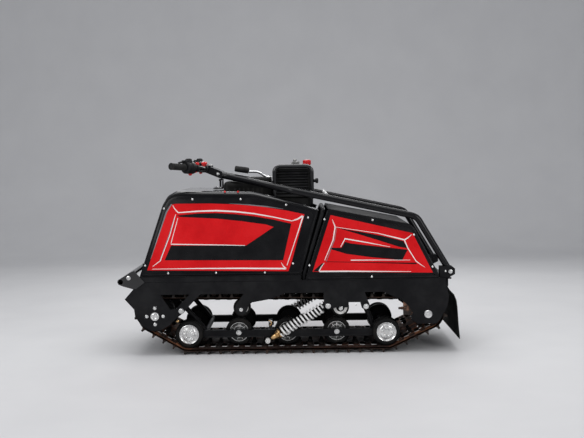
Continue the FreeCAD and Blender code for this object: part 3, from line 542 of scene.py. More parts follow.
def build_clips():
    """Pressed steel guide clips, bent up at both edges, one pair at each pitch."""
    rail = 189
    half_width = 9.5
    turned_up = 8.8
    clips = [block((-7.5, y - half_width, -1.6), (13, y + half_width, 0.2)) for y in (-rail, rail)]
    for clip in clips:
        edit(clip, lambda face: abs(face.normal.y) > 0.9)
        extrude(z=-turned_up)
        bpy.ops.mesh.select_all(action="SELECT")
        bpy.ops.mesh.bevel(offset=0.5 * MM, segments=1, affect="EDGES")
        close(clip)
        lay_out(clip)
    # The clips' near-white steel is a painted highlight.
    fit("track_clips", clips, "bright_steel", steel_and_painted_highlight)


build_clips()

# ---------------------------------------------------------------- sprockets, wheels and rollers
# Toothed plastic sprockets drive the belt. Rubber-tyred road wheels with pressed steel covers
# press it to the ground, larger idlers carry its rear end and small rollers its upper run.


def turned(profile, centre=(0, 0, 0), sides=40, smooth=40):
    """A piece turned about an axis along Y: profile gives radius and distance along the axis.

    A profile that starts away from the axis is closed into a ring."""
    ring = profile[0][0] > 0
    least = 0.01
    radius, height = profile[0]
    bpy.ops.mesh.primitive_circle_add(vertices=sides, radius=max(radius, least) * MM,
        fill_type="NOTHING")
    piece = bpy.context.object
    piece.data.transform(moved((0, 0, height)))
    bpy.ops.object.mode_set(mode="EDIT")
    bpy.ops.mesh.select_mode(type="EDGE")
    bpy.ops.mesh.select_all(action="SELECT")
    for wider, higher in profile[1:] + profile[:1] * ring:
        bpy.ops.mesh.extrude_edges_move(
            TRANSFORM_OT_translate={"value": (0, 0, (higher - height) * MM)})
        ratio = max(wider, least) / max(radius, least)
        bpy.ops.transform.resize(value=(ratio, ratio, 1), center_override=(0, 0, higher * MM))
        radius, height = wider, higher
    if not ring:
        bpy.ops.mesh.merge(type="CENTER")
    bpy.ops.mesh.select_mode(type="VERT")
    bpy.ops.mesh.select_all(action="SELECT")
    bpy.ops.mesh.remove_doubles(threshold=0.00002)
    close(piece, smooth)
    turn = Matrix.Rotation(math.radians(-90), 4, "X")
    piece.data.transform(moved(centre) @ turn)
    return piece


def mirrored(half):
    """A profile that is the same on both sides of its middle."""
    return half + [(radius, -along) for radius, along in reversed(half)]


def copied(piece, change):
    """A copy with its own mesh, moved by a matrix."""
    twin = added(piece.name, piece.data.copy())
    twin.data.transform(change)
    if change.determinant() < 0:
        twin.data.flip_normals()
    return twin


OTHER_SIDE = Matrix.Diagonal((1, -1, 1, 1))


def both(pieces):
    """The pieces and their mirror images on the right side."""
    return pieces + [copied(piece, OTHER_SIDE) for piece in pieces]


def around(centre, degrees, axis="Y"):
    """A turn about an axis through a place."""
    here = moved(centre)
    return here @ Matrix.Rotation(math.radians(degrees), 4, axis) @ here.inverted()


def spread(piece, centre, count, turn=0, axis="Y"):
    """A piece and its copies at even steps round an axis."""
    return [piece] + [copied(piece, around(centre, 360 / count * n + turn, axis))
        for n in range(1, count)]


black_plastic = finish("black_plastic", [(0.005, 0.005, 0.006), (0.016, 0.016, 0.017)], 20,
    (0.35, 0.55), 0.15, bump_grain=600, shine=0.18)
tyre_rubber = finish("tyre_rubber", [(0.004, 0.004, 0.004), (0.008, 0.008, 0.008),
    (0.020, 0.017, 0.015)], 18, (0.5, 0.75), 0.25, bump_grain=500, shine=0.12)
pressed_steel = finish("pressed_steel", [(0.48, 0.48, 0.48), (0.78, 0.78, 0.77), (0.9, 0.9, 0.89)],
    45, (0.16, 0.36), 0.15, metallic=1.0, bump_grain=900)
dark_steel = finish("dark_steel", [(0.03, 0.03, 0.03), (0.09, 0.09, 0.088), (0.22, 0.22, 0.21)], 60,
    (0.3, 0.5), 0.15, metallic=0.7)


def build_sprockets():
    """Discs with eight teeth each that reach through the belt's windows."""
    x, y, z = hub = (drive_centre.x, sprocket_high.y - 11, drive_centre.z)
    disc = turned([(15.2, -11), (26, -11), (28, -5), (52, -4), (55, -9), (61, -9), (62, 0), (61, 9),
        (55, 9), (52, 4), (28, 5), (26, 11), (15.2, 11)], hub)
    tooth = block((x - 7, y - 9, z + 58), (x + 7, y + 9, z + drive_radius), 1.5)
    fit("sprockets", both([disc] + spread(tooth, hub, 8)), "wheel_plastic", black_plastic,
        "drive_sprockets")


build_sprockets()


def build_idlers():
    """Rear idler wheels: a rubber tread on a spoked black centre."""
    x, y, z = hub = (idler_centre.x, idler_high.y - 15, idler_centre.z)
    tread = turned(mirrored([(52, -13), (58, -15), (61, -12), (idler_radius, -6)]), hub)
    centre = turned(mirrored([(10.2, -14), (18, -14), (20, -5), (44, -4), (48, -11), (52, -11)]),
        hub)
    spoke = block((x - 3, y - 9, z + 16), (x + 3, y + 9, z + 50), 1)
    fit("idler_centres", both([centre] + spread(spoke, hub, 6)), "wheel_plastic", black_plastic,
        "idler_wheels")
    fit("idler_treads", both([tread]), "wheel_rubber", tyre_rubber)


build_idlers()

wheel_step = (first_wheel.x - last_wheel.x) / 4
wheel_places = [first_wheel.x - wheel_step * number for number in range(5)]
beam_low, beam_high = span("slide_beams")
half_wheel = 12.5
outer_wheel_y = wheels_high.y - half_wheel
inner_wheel_y = beam_high.y - 22 - half_wheel
outer_hubs = [(x, outer_wheel_y, wheel_z) for x in wheel_places[::4]]
inner_hubs = [(x, inner_wheel_y, wheel_z) for x in wheel_places]


def build_cover(hub, turn):
    """A pressed cover with stepped rings, a hexagonal boss and six bumps round it."""
    cover = turned([(0, -9), (38, -9), (42.5, -8), (43, 9), (42, 11.6), (40, 12.2), (37.5, 11),
        (36, 9.4), (31, 9.2), (29.5, 10.6), (27.5, 11.4), (25, 10.8), (23.5, 9), (15, 8.6),
        (13.5, 9.8), (0, 9.8)], hub, sides=48, smooth=28)
    boss = turned([(0, 9), (14, 9), (14, 11.3), (12.6, 12.3), (0, 12.3)], hub, sides=6, smooth=20)
    bump = turned([(0, 8.5), (5.2, 8.5), (4.4, 10.4), (2.2, 11.4), (0, 11.6)],
        Vector(hub) + Vector((0, 0, 19.5)), sides=14)
    hole = turned([(3.4, 9.2), (5.6, 9.2), (5.6, 11.6), (4.6, 12.4), (3.4, 11.8)],
        Vector(hub) + Vector((0, 0, 13.5)), sides=16)
    for piece in (bump, hole):
        piece.data.transform(around(hub, turn))
    return [cover, boss, hole] + spread(bump, hub, 6)


def build_ridges(hub, turn):
    """The lip, ring and ten ribs of a bare rim, painted bright as highlights."""
    ridges = []
    for inner, outer, low, high in ((39.6, 42, 8, 11.8), (24.6, 27.2, 4, 7), (10.4, 15, 7, 9.6)):
        ridge = [(inner, low), (outer, low), (outer - 0.4, high), (inner + 0.5, high)]
        ridges.append(turned(ridge, hub, smooth=28))
    x, y, z = hub
    rib = block((x - 1.3, y + 4, z + 17), (x + 1.3, y + 8, z + 36), 0.6, 1)
    return ridges + spread(rib, hub, 10, turn)


def build_road_wheels():
    """Tyres on all five axles, bare wheels inside the beams and covered ones outside."""
    tyre = mirrored([(42, -10), (45, -12.4), (53, -12.4), (57.5, -10.5), (wheel_radius, -6.5)])
    back = [(10.3, -12.2), (41.6, -12.2), (41.6, -9.3), (36, -9.3), (10.3, -9.3)]
    rim = [(10.2, -9), (41.8, -9), (42, 10), (38.2, 9), (35, 7), (34, 4.8), (18, 4.5), (16, 7),
        (14, 8), (10.2, 8)]
    hubs = outer_hubs + inner_hubs
    fit("road_wheel_tyres", both([turned(tyre, hub, sides=48) for hub in hubs]), "wheel_rubber",
        tyre_rubber, "road_wheels")
    fit("road_wheel_backs", both([turned(back, hub) for hub in hubs]), "wheel_plastic",
        black_plastic)
    bright = build_cover(outer_hubs[0], 25) + build_cover(outer_hubs[1], 140)
    for number in (1, 2, 3):
        bright += build_ridges(inner_hubs[number], number * 23)
    # The ridges' bright steel against the darker rims is a painted highlight.
    fit("road_wheel_covers", both(bright), "bright_steel", pressed_steel)
    rims = [turned(rim, hub, smooth=28) for hub in inner_hubs[1:4]]
    fit("road_wheel_rims", both(rims), "cast_grey", dark_steel)


build_road_wheels()


def build_return_rollers():
    """Small rollers under the upper run: black rubber on a bright ringed hub."""
    low, high = span("return_rollers")
    radius = 38
    tread = [(24, -13), (34, -15), (37.5, -12), (38, -5), (38, 5), (37.5, 12), (34, 15), (31, 15),
        (30.5, 12), (24, 12)]
    centre = [(8.2, -12), (24.2, -12), (24.2, 11.5), (21, 12), (16, 11), (8.2, 11)]
    narrow = [(24, 8), (27.6, 8), (27.2, 14.4), (25.6, 15), (24.4, 14)]
    broad = [(18.4, 8), (30, 8), (29.6, 14.4), (28, 15), (26, 14.6), (25.4, 12.4), (23.8, 12.4),
        (23.2, 14.6), (20.4, 15), (18.8, 14)]
    treads = []
    rings = []
    for x, z, ring in ((high.x - radius, high.z - radius, narrow),
            (low.x + radius, low.z + radius, broad)):
        hub = (x, high.y - 15, z)
        treads += [turned(tread, hub), turned(centre, hub, smooth=28)]
        rings.append(turned(ring, hub, smooth=28))
    fit("return_roller_treads", both(treads), "wheel_rubber", tyre_rubber, "return_rollers")
    # The hub rings' near-white steel is a painted highlight.
    fit("return_roller_hubs", both(rings), "bright_steel", steel_and_painted_highlight)


build_return_rollers()

# ---------------------------------------------------------------- slide rails and shocks
# The wheels' beams run on plastic sliders above the guide clips. Two coil-over shocks carry
# them: a white enamelled spring on a black body, with a gold anodised lower part and steel eyes.


def build_sliders():
    """Plastic sliders under the beams, turned up at both ends."""
    half_width = 7
    turned_up = 3
    beam_y = beam_high.y - 10
    rear, front, under = beam_low.x + 6, beam_high.x - 6, beam_low.z
    bar = block((rear, beam_y - half_width, under - 9), (front, beam_y + half_width, under - 0.2),
        2)
    edit(bar, lambda face: abs(face.normal.x) > 0.9)
    bpy.ops.transform.translate(value=(0, 0, turned_up * MM))
    leave()
    fit("beam_sliders", both([bar]), "wheel_plastic", black_plastic)


build_sliders()


def strand(points, thickness, cyclic=False, smooth=True):
    """A round bar along a smooth or straight line through the points, made a mesh."""
    curve = bpy.data.curves.new("strand", "CURVE")
    curve.dimensions = "3D"
    line = curve.splines.new("NURBS" if smooth else "POLY")
    line.points.add(len(points) - 1)
    for point, place in zip(line.points, points):
        point.co = (*(Vector(place) * MM), 1)
    if smooth:
        line.order_u = 3
        line.use_endpoint_u = not cyclic
    line.use_cyclic_u = cyclic
    curve.bevel_depth = thickness * MM
    curve.bevel_resolution = 3
    curve.resolution_u = 6
    curve.use_fill_caps = True
    select(added("strand", curve))
    bpy.ops.object.convert(target="MESH")
    piece = bpy.context.object
    settle(piece, 45)
    return piece


spring_enamel = finish("spring_enamel", [(0.80, 0.80, 0.79), (0.92, 0.92, 0.91),
    (0.96, 0.96, 0.95)], 50, (0.12, 0.28), 0.06, coat=0.5)
gold_anodised = finish("gold_anodised", [(0.42, 0.22, 0.07), (0.66, 0.40, 0.17),
    (0.82, 0.56, 0.30)], 40, (0.2, 0.38), 0.08, metallic=1.0)


def build_shocks():
    """Coil, body, collars and eyes laid along the line between the two eyes."""
    low, high = span("shock_left")
    eye = 13
    upper = Vector((low.x + eye, (low.y + high.y) / 2, high.z - eye))
    lower = Vector((high.x - eye, upper.y, low.z + eye))
    tilt = (lower - upper).to_track_quat("Z", "Y").to_matrix().to_4x4()
    place = moved(upper) @ tilt
    length = (lower - upper).length
    turns = 13
    steps = turns * 12
    coil_radius = 20
    start, stop = 0.075 * length, 0.79 * length
    coil = []
    for step in range(steps + 1):
        angle = 2 * math.pi * turns * step / steps
        coil.append((coil_radius * math.cos(angle), coil_radius * math.sin(angle),
            start + (stop - start) * step / steps))
    spring = strand(coil, 4)
    body = turned([(0, 6), (12, 6), (12, 9), (22, 10), (22, 13), (13.5, 15), (13.5, 0.5 * length),
        (6, 0.5 * length + 2), (6, 0.76 * length), (0, 0.76 * length)], sides=32)
    steps = ((0, 0.79), (22.5, 0.79), (23, 0.81), (17, 0.825), (16, 0.855), (13, 0.865),
        (12.5, 0.91), (8, 0.94), (0, 0.945))
    gold = turned([(radius, share * length) for radius, share in steps], sides=32)
    for piece, quarter in ((spring, 0), (body, 90), (gold, 90)):
        piece.data.transform(place @ Matrix.Rotation(math.radians(quarter), 4, "X"))
    eyes = []
    for hub, bore, reach, bolt in ((upper, 6.6, eye - 0.2, 10.5), (lower, 6.8, 10.8, 5.2)):
        eyes.append(turned([(bore, -11.5), (reach - 1.2, -11.5), (reach, -10), (reach, 15.6),
            (reach - 1.2, 17), (bore, 17)], hub))
        eyes.append(turned([(0, -12), (bolt, -12), (bolt, 18.6), (bolt - 1.5, 19.6), (0, 19.6)],
            hub, sides=6, smooth=20))
    fit("shock_springs", both([spring]), "spring_white", spring_enamel, "shock_left", "shock_right")
    fit("shock_bodies", both([body]), "engine_black", tube_gloss)
    fit("shock_collars", both([gold]), "bright_steel", gold_anodised)
    # The eyes' near-white steel is a painted highlight.
    fit("shock_eyes", both(eyes), "bright_steel", steel_and_painted_highlight)


build_shocks()

# ---------------------------------------------------------------- bolts of the chassis
# Zinc-plated bolts with washers hold the axles, swing arms, beams and bearings to the side
# plates. One of each kind is made and copied to every place, left and right.

plate_face = span("side_plate_left")[1].y


def hex_bolt(radius, height=5.0):
    """A hexagonal head with a bevelled top on a washer, on the plane y = 0."""
    washer = turned([(0, 0), (radius * 1.32, 0), (radius * 1.32, 1.1), (radius * 1.2, 1.5),
        (0, 1.5)], sides=28)
    head = turned([(0, 1.2), (radius, 1.2), (radius, height - 1), (radius * 0.86, height),
        (radius * 0.4, height), (radius * 0.3, height - 0.6), (0, height - 0.6)], sides=6,
        smooth=20)
    head.data.transform(Matrix.Rotation(0.4, 4, "Y"))
    return join([washer, head])


def pan_screw(radius):
    """A domed screw head with a socket."""
    shares = ((0.8, 0.42), (0.42, 0.56), (0.36, 0.3), (0, 0.3))
    dome = [(radius * wide, radius * high) for wide, high in shares]
    return turned([(0, 0), (radius, 0), (radius, 0.8)] + dome, sides=20, smooth=35)


def stamp(master, *places):
    """Copies of a fastener at places, each with a turn of its own."""
    copies = []
    for number, place in enumerate(places):
        copies.append(copied(master, moved(place) @ Matrix.Rotation(number * 1.1, 4, "Y")))
    bpy.data.objects.remove(master)
    return copies


def build_chassis_bolts():
    """Large, middle and small bolts on plates, beams and brackets."""
    x, z = drive_centre.x, drive_centre.z
    bearing = 35
    bolts = stamp(hex_bolt(8.5, 6), (464, plate_face, 195), (-165, plate_face, 208),
        (-327, plate_face, 204), *((along, beam_high.y, wheel_z) for along in wheel_places[1:4]))
    bolts += stamp(hex_bolt(6.5), (-688, plate_face - 4, 348.5))
    bolts += stamp(hex_bolt(5.8), (207, plate_face, 197))
    bolts += stamp(hex_bolt(5.2), (-221, plate_face, 198))
    bolts += stamp(hex_bolt(5.4), (x + bearing, plate_face, z), (x, plate_face, z + bearing),
        (x - bearing, plate_face, z), (x, plate_face, z - bearing))
    bolts += stamp(pan_screw(4.5), (-285, plate_face, 212), (-668, plate_face - 8, 350))
    bolts += stamp(hex_bolt(7), (685, plate_face + 5, 341))
    cap = turned([(0, 6), (15.5, 6), (15.5, 8), (14, 9.4), (11, 9.8), (9.5, 8.6), (4, 8.4),
        (3.4, 7.2), (0, 7.2)], (x, plate_face, z))
    idler_hub = (idler_centre.x, plate_face, idler_centre.z)
    washer = turned([(0, 0), (17, 0), (17, 3), (15.8, 4.2), (0, 4.2)], idler_hub)
    nut = turned([(0, 4), (10, 4), (10, 8), (8.6, 9), (0, 9)], idler_hub, sides=6, smooth=20)
    fit("chassis_bolts", both(bolts + [cap, washer, nut]), "bright_steel", pressed_steel)


build_chassis_bolts()

# ---------------------------------------------------------------- hoods
# Two hoods of folded sheet sprayed gloss black, the front one open above the engine. Each side
# is a leaning sheet with a rolled edge, and carries a screwed-on board with the stripes.

panel_low, panel_high = span("front_panel_left")
rear_low, rear_high = span("rear_panel_left")
sheet_metal = 3.0
lean = (panel_high.y - panel_low.y - sheet_metal) / (panel_high.z - panel_low.z)
board_thickness = 2.2


def side_face(z):
    """How far out the left hood sides stand at a height."""
    return panel_high.y - (z - panel_low.z) * lean


front_outline = [(panel_high.x, panel_low.z), (panel_high.x - 102, panel_high.z - 63),
    (panel_high.x - 124, panel_high.z - 29), (panel_high.x - 162, panel_high.z - 11),
    (panel_high.x - 497, panel_high.z - 19), (panel_low.x + 60, panel_high.z - 73),
    (panel_low.x, panel_high.z - 91), (panel_low.x + 80, panel_low.z)]
rear_outline = [(rear_high.x, rear_low.z), (rear_high.x - 100, rear_high.z),
    (rear_low.x + 125, rear_high.z - 69), (rear_low.x + 104, rear_high.z - 86),
    (rear_low.x, rear_low.z + 16), (rear_low.x, rear_low.z)]
front_radii = [4, 34, 34, 40, 260, 200, 12, 4]
rear_radii = [4, 14, 24, 24, 10, 3]


def rounded(points, radii, closed=True):
    """An outline with an arc of its own radius at each corner."""
    result = []
    count = len(points)
    for number, (point, radius) in enumerate(zip(points, radii)):
        here = Vector(point)
        if not closed and number in (0, count - 1):
            result.append(point)
            continue
        before = Vector(points[number - 1]) - here
        after = Vector(points[(number + 1) % count]) - here
        half = before.angle(after) / 2
        reach = min(radius / math.tan(half), before.length * 0.48, after.length * 0.48)
        radius = reach * math.tan(half)
        start = here + before.normalized() * reach
        stop = here + after.normalized() * reach
        inwards = (before.normalized() + after.normalized()).normalized()
        centre = here + inwards * (radius / math.sin(half))
        steps = max(2, int(math.degrees(math.pi - 2 * half) / 9) + 1)
        first = start - centre
        for step in range(steps + 1):
            share = step / steps
            arm = (first * (1 - share) + (stop - centre) * share).normalized() * radius
            result.append(tuple(centre + arm))
    return result


def drawn_in(points, distance):
    """A convex outline moved inwards by a distance."""
    middle = sum((Vector(point) for point in points), Vector((0, 0))) / len(points)
    lines = []
    for first, second in zip(points, points[1:] + points[:1]):
        run = (Vector(second) - Vector(first)).normalized()
        normal = Vector((-run.y, run.x))
        if normal.dot(middle - Vector(first)) < 0:
            normal = -normal
        lines.append((Vector(first) + normal * distance, run))
    result = []
    for (place, run), (after, run_after) in zip(lines[-1:] + lines[:-1], lines):
        cross = run.x * run_after.y - run.y * run_after.x
        gap = after - place
        share = (gap.x * run_after.y - gap.y * run_after.x) / cross
        result.append(tuple(place + run * share))
    return result


def ease(piece, width, angle):
    """Rounds the edges that are sharper than an angle."""
    modify(piece, "BEVEL", width=width * MM, segments=2, limit_method="ANGLE",
        angle_limit=math.radians(angle))


def side_sheet(outline, inner, outer, bevel=0.0):
    """A flat piece on the left hood side: its outline in X and Z, its faces so far out from it."""
    corners = [Vector((x, side_face(z) + inner, z)) * MM for x, z in outline]
    piece = sheet_of("sheet", corners, [range(len(outline))])
    edit(piece)
    extrude(y=outer - inner)
    close(piece)
    if bevel:
        ease(piece, bevel, 50)
    settle(piece, 30)
    return piece


hood_shades = [(0.003, 0.003, 0.004), (0.006, 0.006, 0.007), (0.011, 0.011, 0.012)]
hood_gloss = finish("hood_gloss", hood_shades, 6, (0.12, 0.24), 0.05, coat=0.04, bump_grain=400,
    shine=0.1)
board_black = finish("board_black", [(0.004, 0.004, 0.005), (0.007, 0.007, 0.008),
    (0.012, 0.012, 0.013)], 10, (0.22, 0.36), 0.04, bump_grain=700, shine=0.09)


def build_hood_sides():
    """Sheets, rolled edges and boards of both hoods, left and right."""
    edge = 5
    border = 16
    soft, sharp = 60, 26
    for label, outline, radii in (("front", front_outline, front_radii),
            ("rear", rear_outline, rear_radii)):
        panel = side_sheet(rounded(outline, radii), -sheet_metal, -0.6, 0.5)
        edge_line = rounded(drawn_in(outline, edge), [max(radius - edge, 3) for radius in radii])
        roll = strand([(x, side_face(z) - 3.4, z) for x, z in edge_line], 4.6, cyclic=True,
            smooth=False)
        fit(f"{label}_hood_sides", both([panel, roll]), "hood_black", hood_gloss,
            f"{label}_panel_left", f"{label}_panel_right")
        corners = [sharp if radius < soft else radius for radius in radii]
        board_outline = rounded(drawn_in(outline, border), corners)
        board = side_sheet(board_outline, -1.2, board_thickness, 0.8)
        fit(f"{label}_boards", both([board]), "hood_black", board_black)


build_hood_sides()


def build_skin(name, profile, rises, cut_x, node, material):
    """The top and ends of a hood as one folded sheet between its sides, with its opening.

    rises are places along X and how far the sheet stands over its sides' edges there; it
    bends down to them in a rounded fold."""
    fold = ((0, 1), (4, 0.5), (10, 0.16), (20, 0))
    half_bay = 165.0
    half_flat = 40
    inside = 2.2
    columns = []
    for x, z in profile:
        rise = rises[0][1]
        for (ahead, high), (behind, low) in zip(rises, rises[1:]):
            if ahead >= x >= behind:
                rise = low + (high - low) * (x - behind) / (ahead - behind)
        edge = side_face(z) - inside
        side = [(edge - inwards, z - rise * share) for inwards, share in fold]
        across = [(-y, height) for y, height in side]
        across += [(y, z) for y in (-half_bay, -half_flat, half_flat, half_bay)]
        columns.append([(x, y, height) for y, height in across + side[::-1]])
    wide = len(columns[0])
    faces = [(row * wide + k, row * wide + k + 1, (row + 1) * wide + k + 1, (row + 1) * wide + k)
        for row in range(len(columns) - 1) for k in range(wide - 1)]
    skin = sheet_of(name, [Vector(point) * MM for column in columns for point in column], faces)
    if cut_x:
        edit(skin, lambda face: face.center.x < cut_x * MM and abs(face.center.y) < half_bay * MM)
        bpy.ops.mesh.delete(type="FACE")
        leave()
    settle(skin)
    up = sum(face.normal.z for face in skin.data.polygons)
    thicken(skin, sheet_metal, -1 if up > 0 else 1)
    ease(skin, 0.8, 60)
    settle(skin, 34)
    fit(name, [skin], "hood_black", material, node)


bay_front_x = span("tiller_rest")[0].x - 0.5
skin_gloss = finish("skin_gloss", hood_shades, 6, (0.06, 0.14), 0.04, coat=0.35, bump_grain=400,
    shine=0.4)
hood_satin = finish("hood_satin", [(0.003, 0.003, 0.004), (0.006, 0.006, 0.007),
    (0.010, 0.010, 0.011)], 6, (0.5, 0.62), 0.05, bump_grain=400, shine=0.05)
front_rises = [(x, rise) for (x, _), rise in zip(front_outline, (0, 5, 9, 11, 11, 5, 0))]
top_line = [(x, z + rise) for (x, z), (_, rise) in zip(front_outline, front_rises)]
top_line.insert(4, (bay_front_x, panel_high.z - 8 * (panel_high.x - 162 - bay_front_x) / 335))
build_skin("front_hood_skin", rounded(top_line, [4, 34, 34, 40, 3, 200, 200, 4], closed=False),
    front_rises, bay_front_x, "front_hood", skin_gloss)
build_skin("rear_hood_skin", rounded(rear_outline[1:], rear_radii[1:], closed=False),
    [(rear_high.x, 0), (rear_low.x, 0)], None, "rear_hood", hood_satin)

# ---------------------------------------------------------------- stripes on the boards
# The boards carry printed film in red, black and white, cut as a bevelled frame round a field
# with a black wedge. Only the plain stripes are made; the fields stay empty.

stripe_red = finish("stripe_red", [(0.56, 0.004, 0.007), (0.66, 0.008, 0.011),
    (0.72, 0.013, 0.016)], 7, (0.2, 0.34), 0.03, bump_grain=500, shine=0.15)
stripe_black = finish("stripe_black", [(0.004, 0.004, 0.005), (0.010, 0.010, 0.011)], 12,
    (0.22, 0.36), 0.03, shine=0.14)
stripe_pale = finish("stripe_pale", [(0.80, 0.76, 0.74), (0.92, 0.90, 0.88)], 9, (0.2, 0.3), 0.03)
# Grey for strips of painted edge shading along the boards' left edges.
grey_painted_shade = finish("grey_painted_shade", [(0.12, 0.12, 0.13), (0.26, 0.26, 0.28)], 9, (0.2, 0.3), 0.03)


def film(outline, lift):
    """A piece of film on the left board."""
    return side_sheet(outline, board_thickness - 0.2, board_thickness + lift)


def stripe(line, widths, lift=0.9):
    """A thin band along a line, tapering between its widths."""
    left = []
    right = []
    count = len(line)
    for number, point in enumerate(line):
        here = Vector(point)
        before = Vector(line[max(number - 1, 0)])
        after = Vector(line[min(number + 1, count - 1)])
        run = (after - before).normalized()
        share = number / (count - 1) * (len(widths) - 1)
        low = min(int(share), len(widths) - 2)
        width = widths[low] + (widths[low + 1] - widths[low]) * (share - low)
        reach = Vector((-run.y, run.x)) * width / 2
        left.append(tuple(here + reach))
        right.append(tuple(here - reach))
    return film(left + right[::-1], lift)


def films(name, slot, material, strips, outlines=(), lift=0.6):
    """One colour's film on a hood's two boards: outlines at one lift, strips at their own."""
    pieces = [film(outline, lift) for outline in outlines]
    pieces += [stripe(*strip) for strip in strips]
    fit(name, both(pieces), slot, material)


crown_edge = [(469, 616), (386, 621), (306, 622), (226, 617), (146, 607), (66, 592), (-18, 573)]
crown = [(475, 604), (386, 611), (306, 612), (226, 606), (146, 596), (66, 581), (-13, 562)]
films("front_pale_film", "spring_white", stripe_pale, (
    (crown_edge, (4, 6.5, 6, 5, 3.5)),
    ([(469, 616), (485, 634), (492, 648)], (4.5, 3.5, 1.5)),
    ([(-14, 573), (-40, 581), (-62, 594)], (2.5, 6, 7)),
    ([(-64, 594), (-49, 549), (-20, 465), (8, 385)], (5.5, 4.5, 3, 3)),
    ([(480, 609), (506, 521), (549, 412), (582, 388)], (2.5, 3, 3.5, 2)),
    ([(585, 377), (400, 377), (200, 375), (12, 371)], (1.5, 4, 5.5, 6.5)),
    ([(12, 371), (24, 382), (32, 397)], (6, 3.5, 1.5)),
    ([(471, 593), (502, 485)], (2.2, 2.8)),
    ([(502, 482), (400, 479), (300, 476), (186, 472)], (4, 4, 3.5, 2), 1.0),
))
# Painted edge shading along the front board's left edge and top.
films("front_grey_painted_shade", "cast_grey", grey_painted_shade, (
    ([(497, 653), (520, 618), (560, 505), (590, 420)], (5, 6, 4, 1.5), 0.7),
    ([(250, 652), (170, 645), (90, 636), (20, 625)], (1, 4, 5, 1), 0.7),
    ([(484, 600), (510, 521), (552, 410)], (2, 2.5, 2), 0.8),
))
front_field = [(606, 372), (508, 643), (498, 651), (481, 654), (332, 653), (215, 647), (110, 636),
    (0, 617), (-70, 601), (-13, 401), (2, 360)]
films("front_red_film", "panel_red", stripe_red, (), [front_field], 0.3)
films("front_black_film", "hood_black", stripe_black, (), [crown + [(24, 407), (530, 414),
    (502, 476), (181, 472), (62, 549), (94, 560), (200, 576), (301, 588), (461, 598)]])
films("rear_pale_film", "spring_white", stripe_pale, (
    ([(-188, 577), (-200, 545), (-190, 490), (-153, 404)], (1.5, 5, 4, 2.5)),
    ([(-200, 545), (-380, 516), (-494, 486)], (1.5, 2.5, 6)),
    ([(-494, 486), (-508, 494), (-524, 508)], (6, 4.5, 2)),
    ([(-494, 484), (-507, 452), (-541, 396)], (5, 4, 3.5)),
    ([(-541, 396), (-560, 381), (-580, 368)], (3.5, 2.5, 1)),
    ([(-130, 357), (-250, 356), (-350, 354), (-520, 351)], (6, 5.5, 4.5, 1.5)),
    ([(-128, 358), (-138, 376), (-151, 393)], (4.5, 3.5, 2)),
    ([(-222, 460), (-241, 494)], (2.5, 4)),
    ([(-239, 495), (-330, 478), (-433, 457)], (5, 4, 1.5), 1.0),
    ([(-264, 403), (-380, 402), (-517, 400)], (4, 3, 1.5)),
))
wedge = [(-208, 541), (-300, 524), (-400, 504), (-489, 481), (-507, 450), (-470, 457), (-380, 487),
    (-290, 516)]
patch = [(-177, 457), (-225, 456), (-241, 481), (-265, 474), (-507, 444), (-483, 400), (-347, 415),
    (-246, 430), (-177, 452)]
notch = [(-103, 358), (-142, 392), (-150, 388), (-126, 357)]
films("rear_black_film", "hood_black", stripe_black, (
    ([(-160, 398), (-350, 392), (-544, 385)], (2, 3, 6), 0.6),
), [wedge, patch, notch])
# Painted edge shading beside the rear board's pale left stripe.
films("rear_grey_painted_shade", "cast_grey", grey_painted_shade, (
    ([(-206, 540), (-196, 490), (-160, 400)], (1.5, 3, 2.5), 0.7),
))
films("rear_red_film", "panel_red", stripe_red, (), [[(-181, 596), (-529, 514), (-613, 345),
    (-101, 356)]], 0.3)


def build_board_screws():
    """Zinc screws round both boards."""
    spots = [(408, 672), (202, 669), (8, 642), (530, 634), (614, 392), (516, 358), (311, 357),
        (103, 355), (-85, 587), (-18, 392), (-155, 578), (-360, 572), (-535, 507), (-612, 370),
        (-353, 331), (-88, 383)]
    places = [(x, side_face(z) + board_thickness - 0.2, z) for x, z in spots]
    fit("board_screws", both(stamp(pan_screw(4.6), *places)), "bright_steel", pressed_steel)


build_board_screws()

# ---------------------------------------------------------------- rear end and deck edges
# A black rubber flap with ribs hangs behind the track, bolted under a steel strip. The idlers'
# cast screw adjusters have rusted, the deck's edges are rolled, the hitch is bolted on, and
# brass grease nipples are screwed in below.


def laid(piece, start, stop):
    """Moves a turned piece so that its axis runs from one place towards another."""
    turn = (Vector(stop) - Vector(start)).to_track_quat("Y", "Z").to_matrix().to_4x4()
    piece.data.transform(moved(start) @ turn)
    return piece


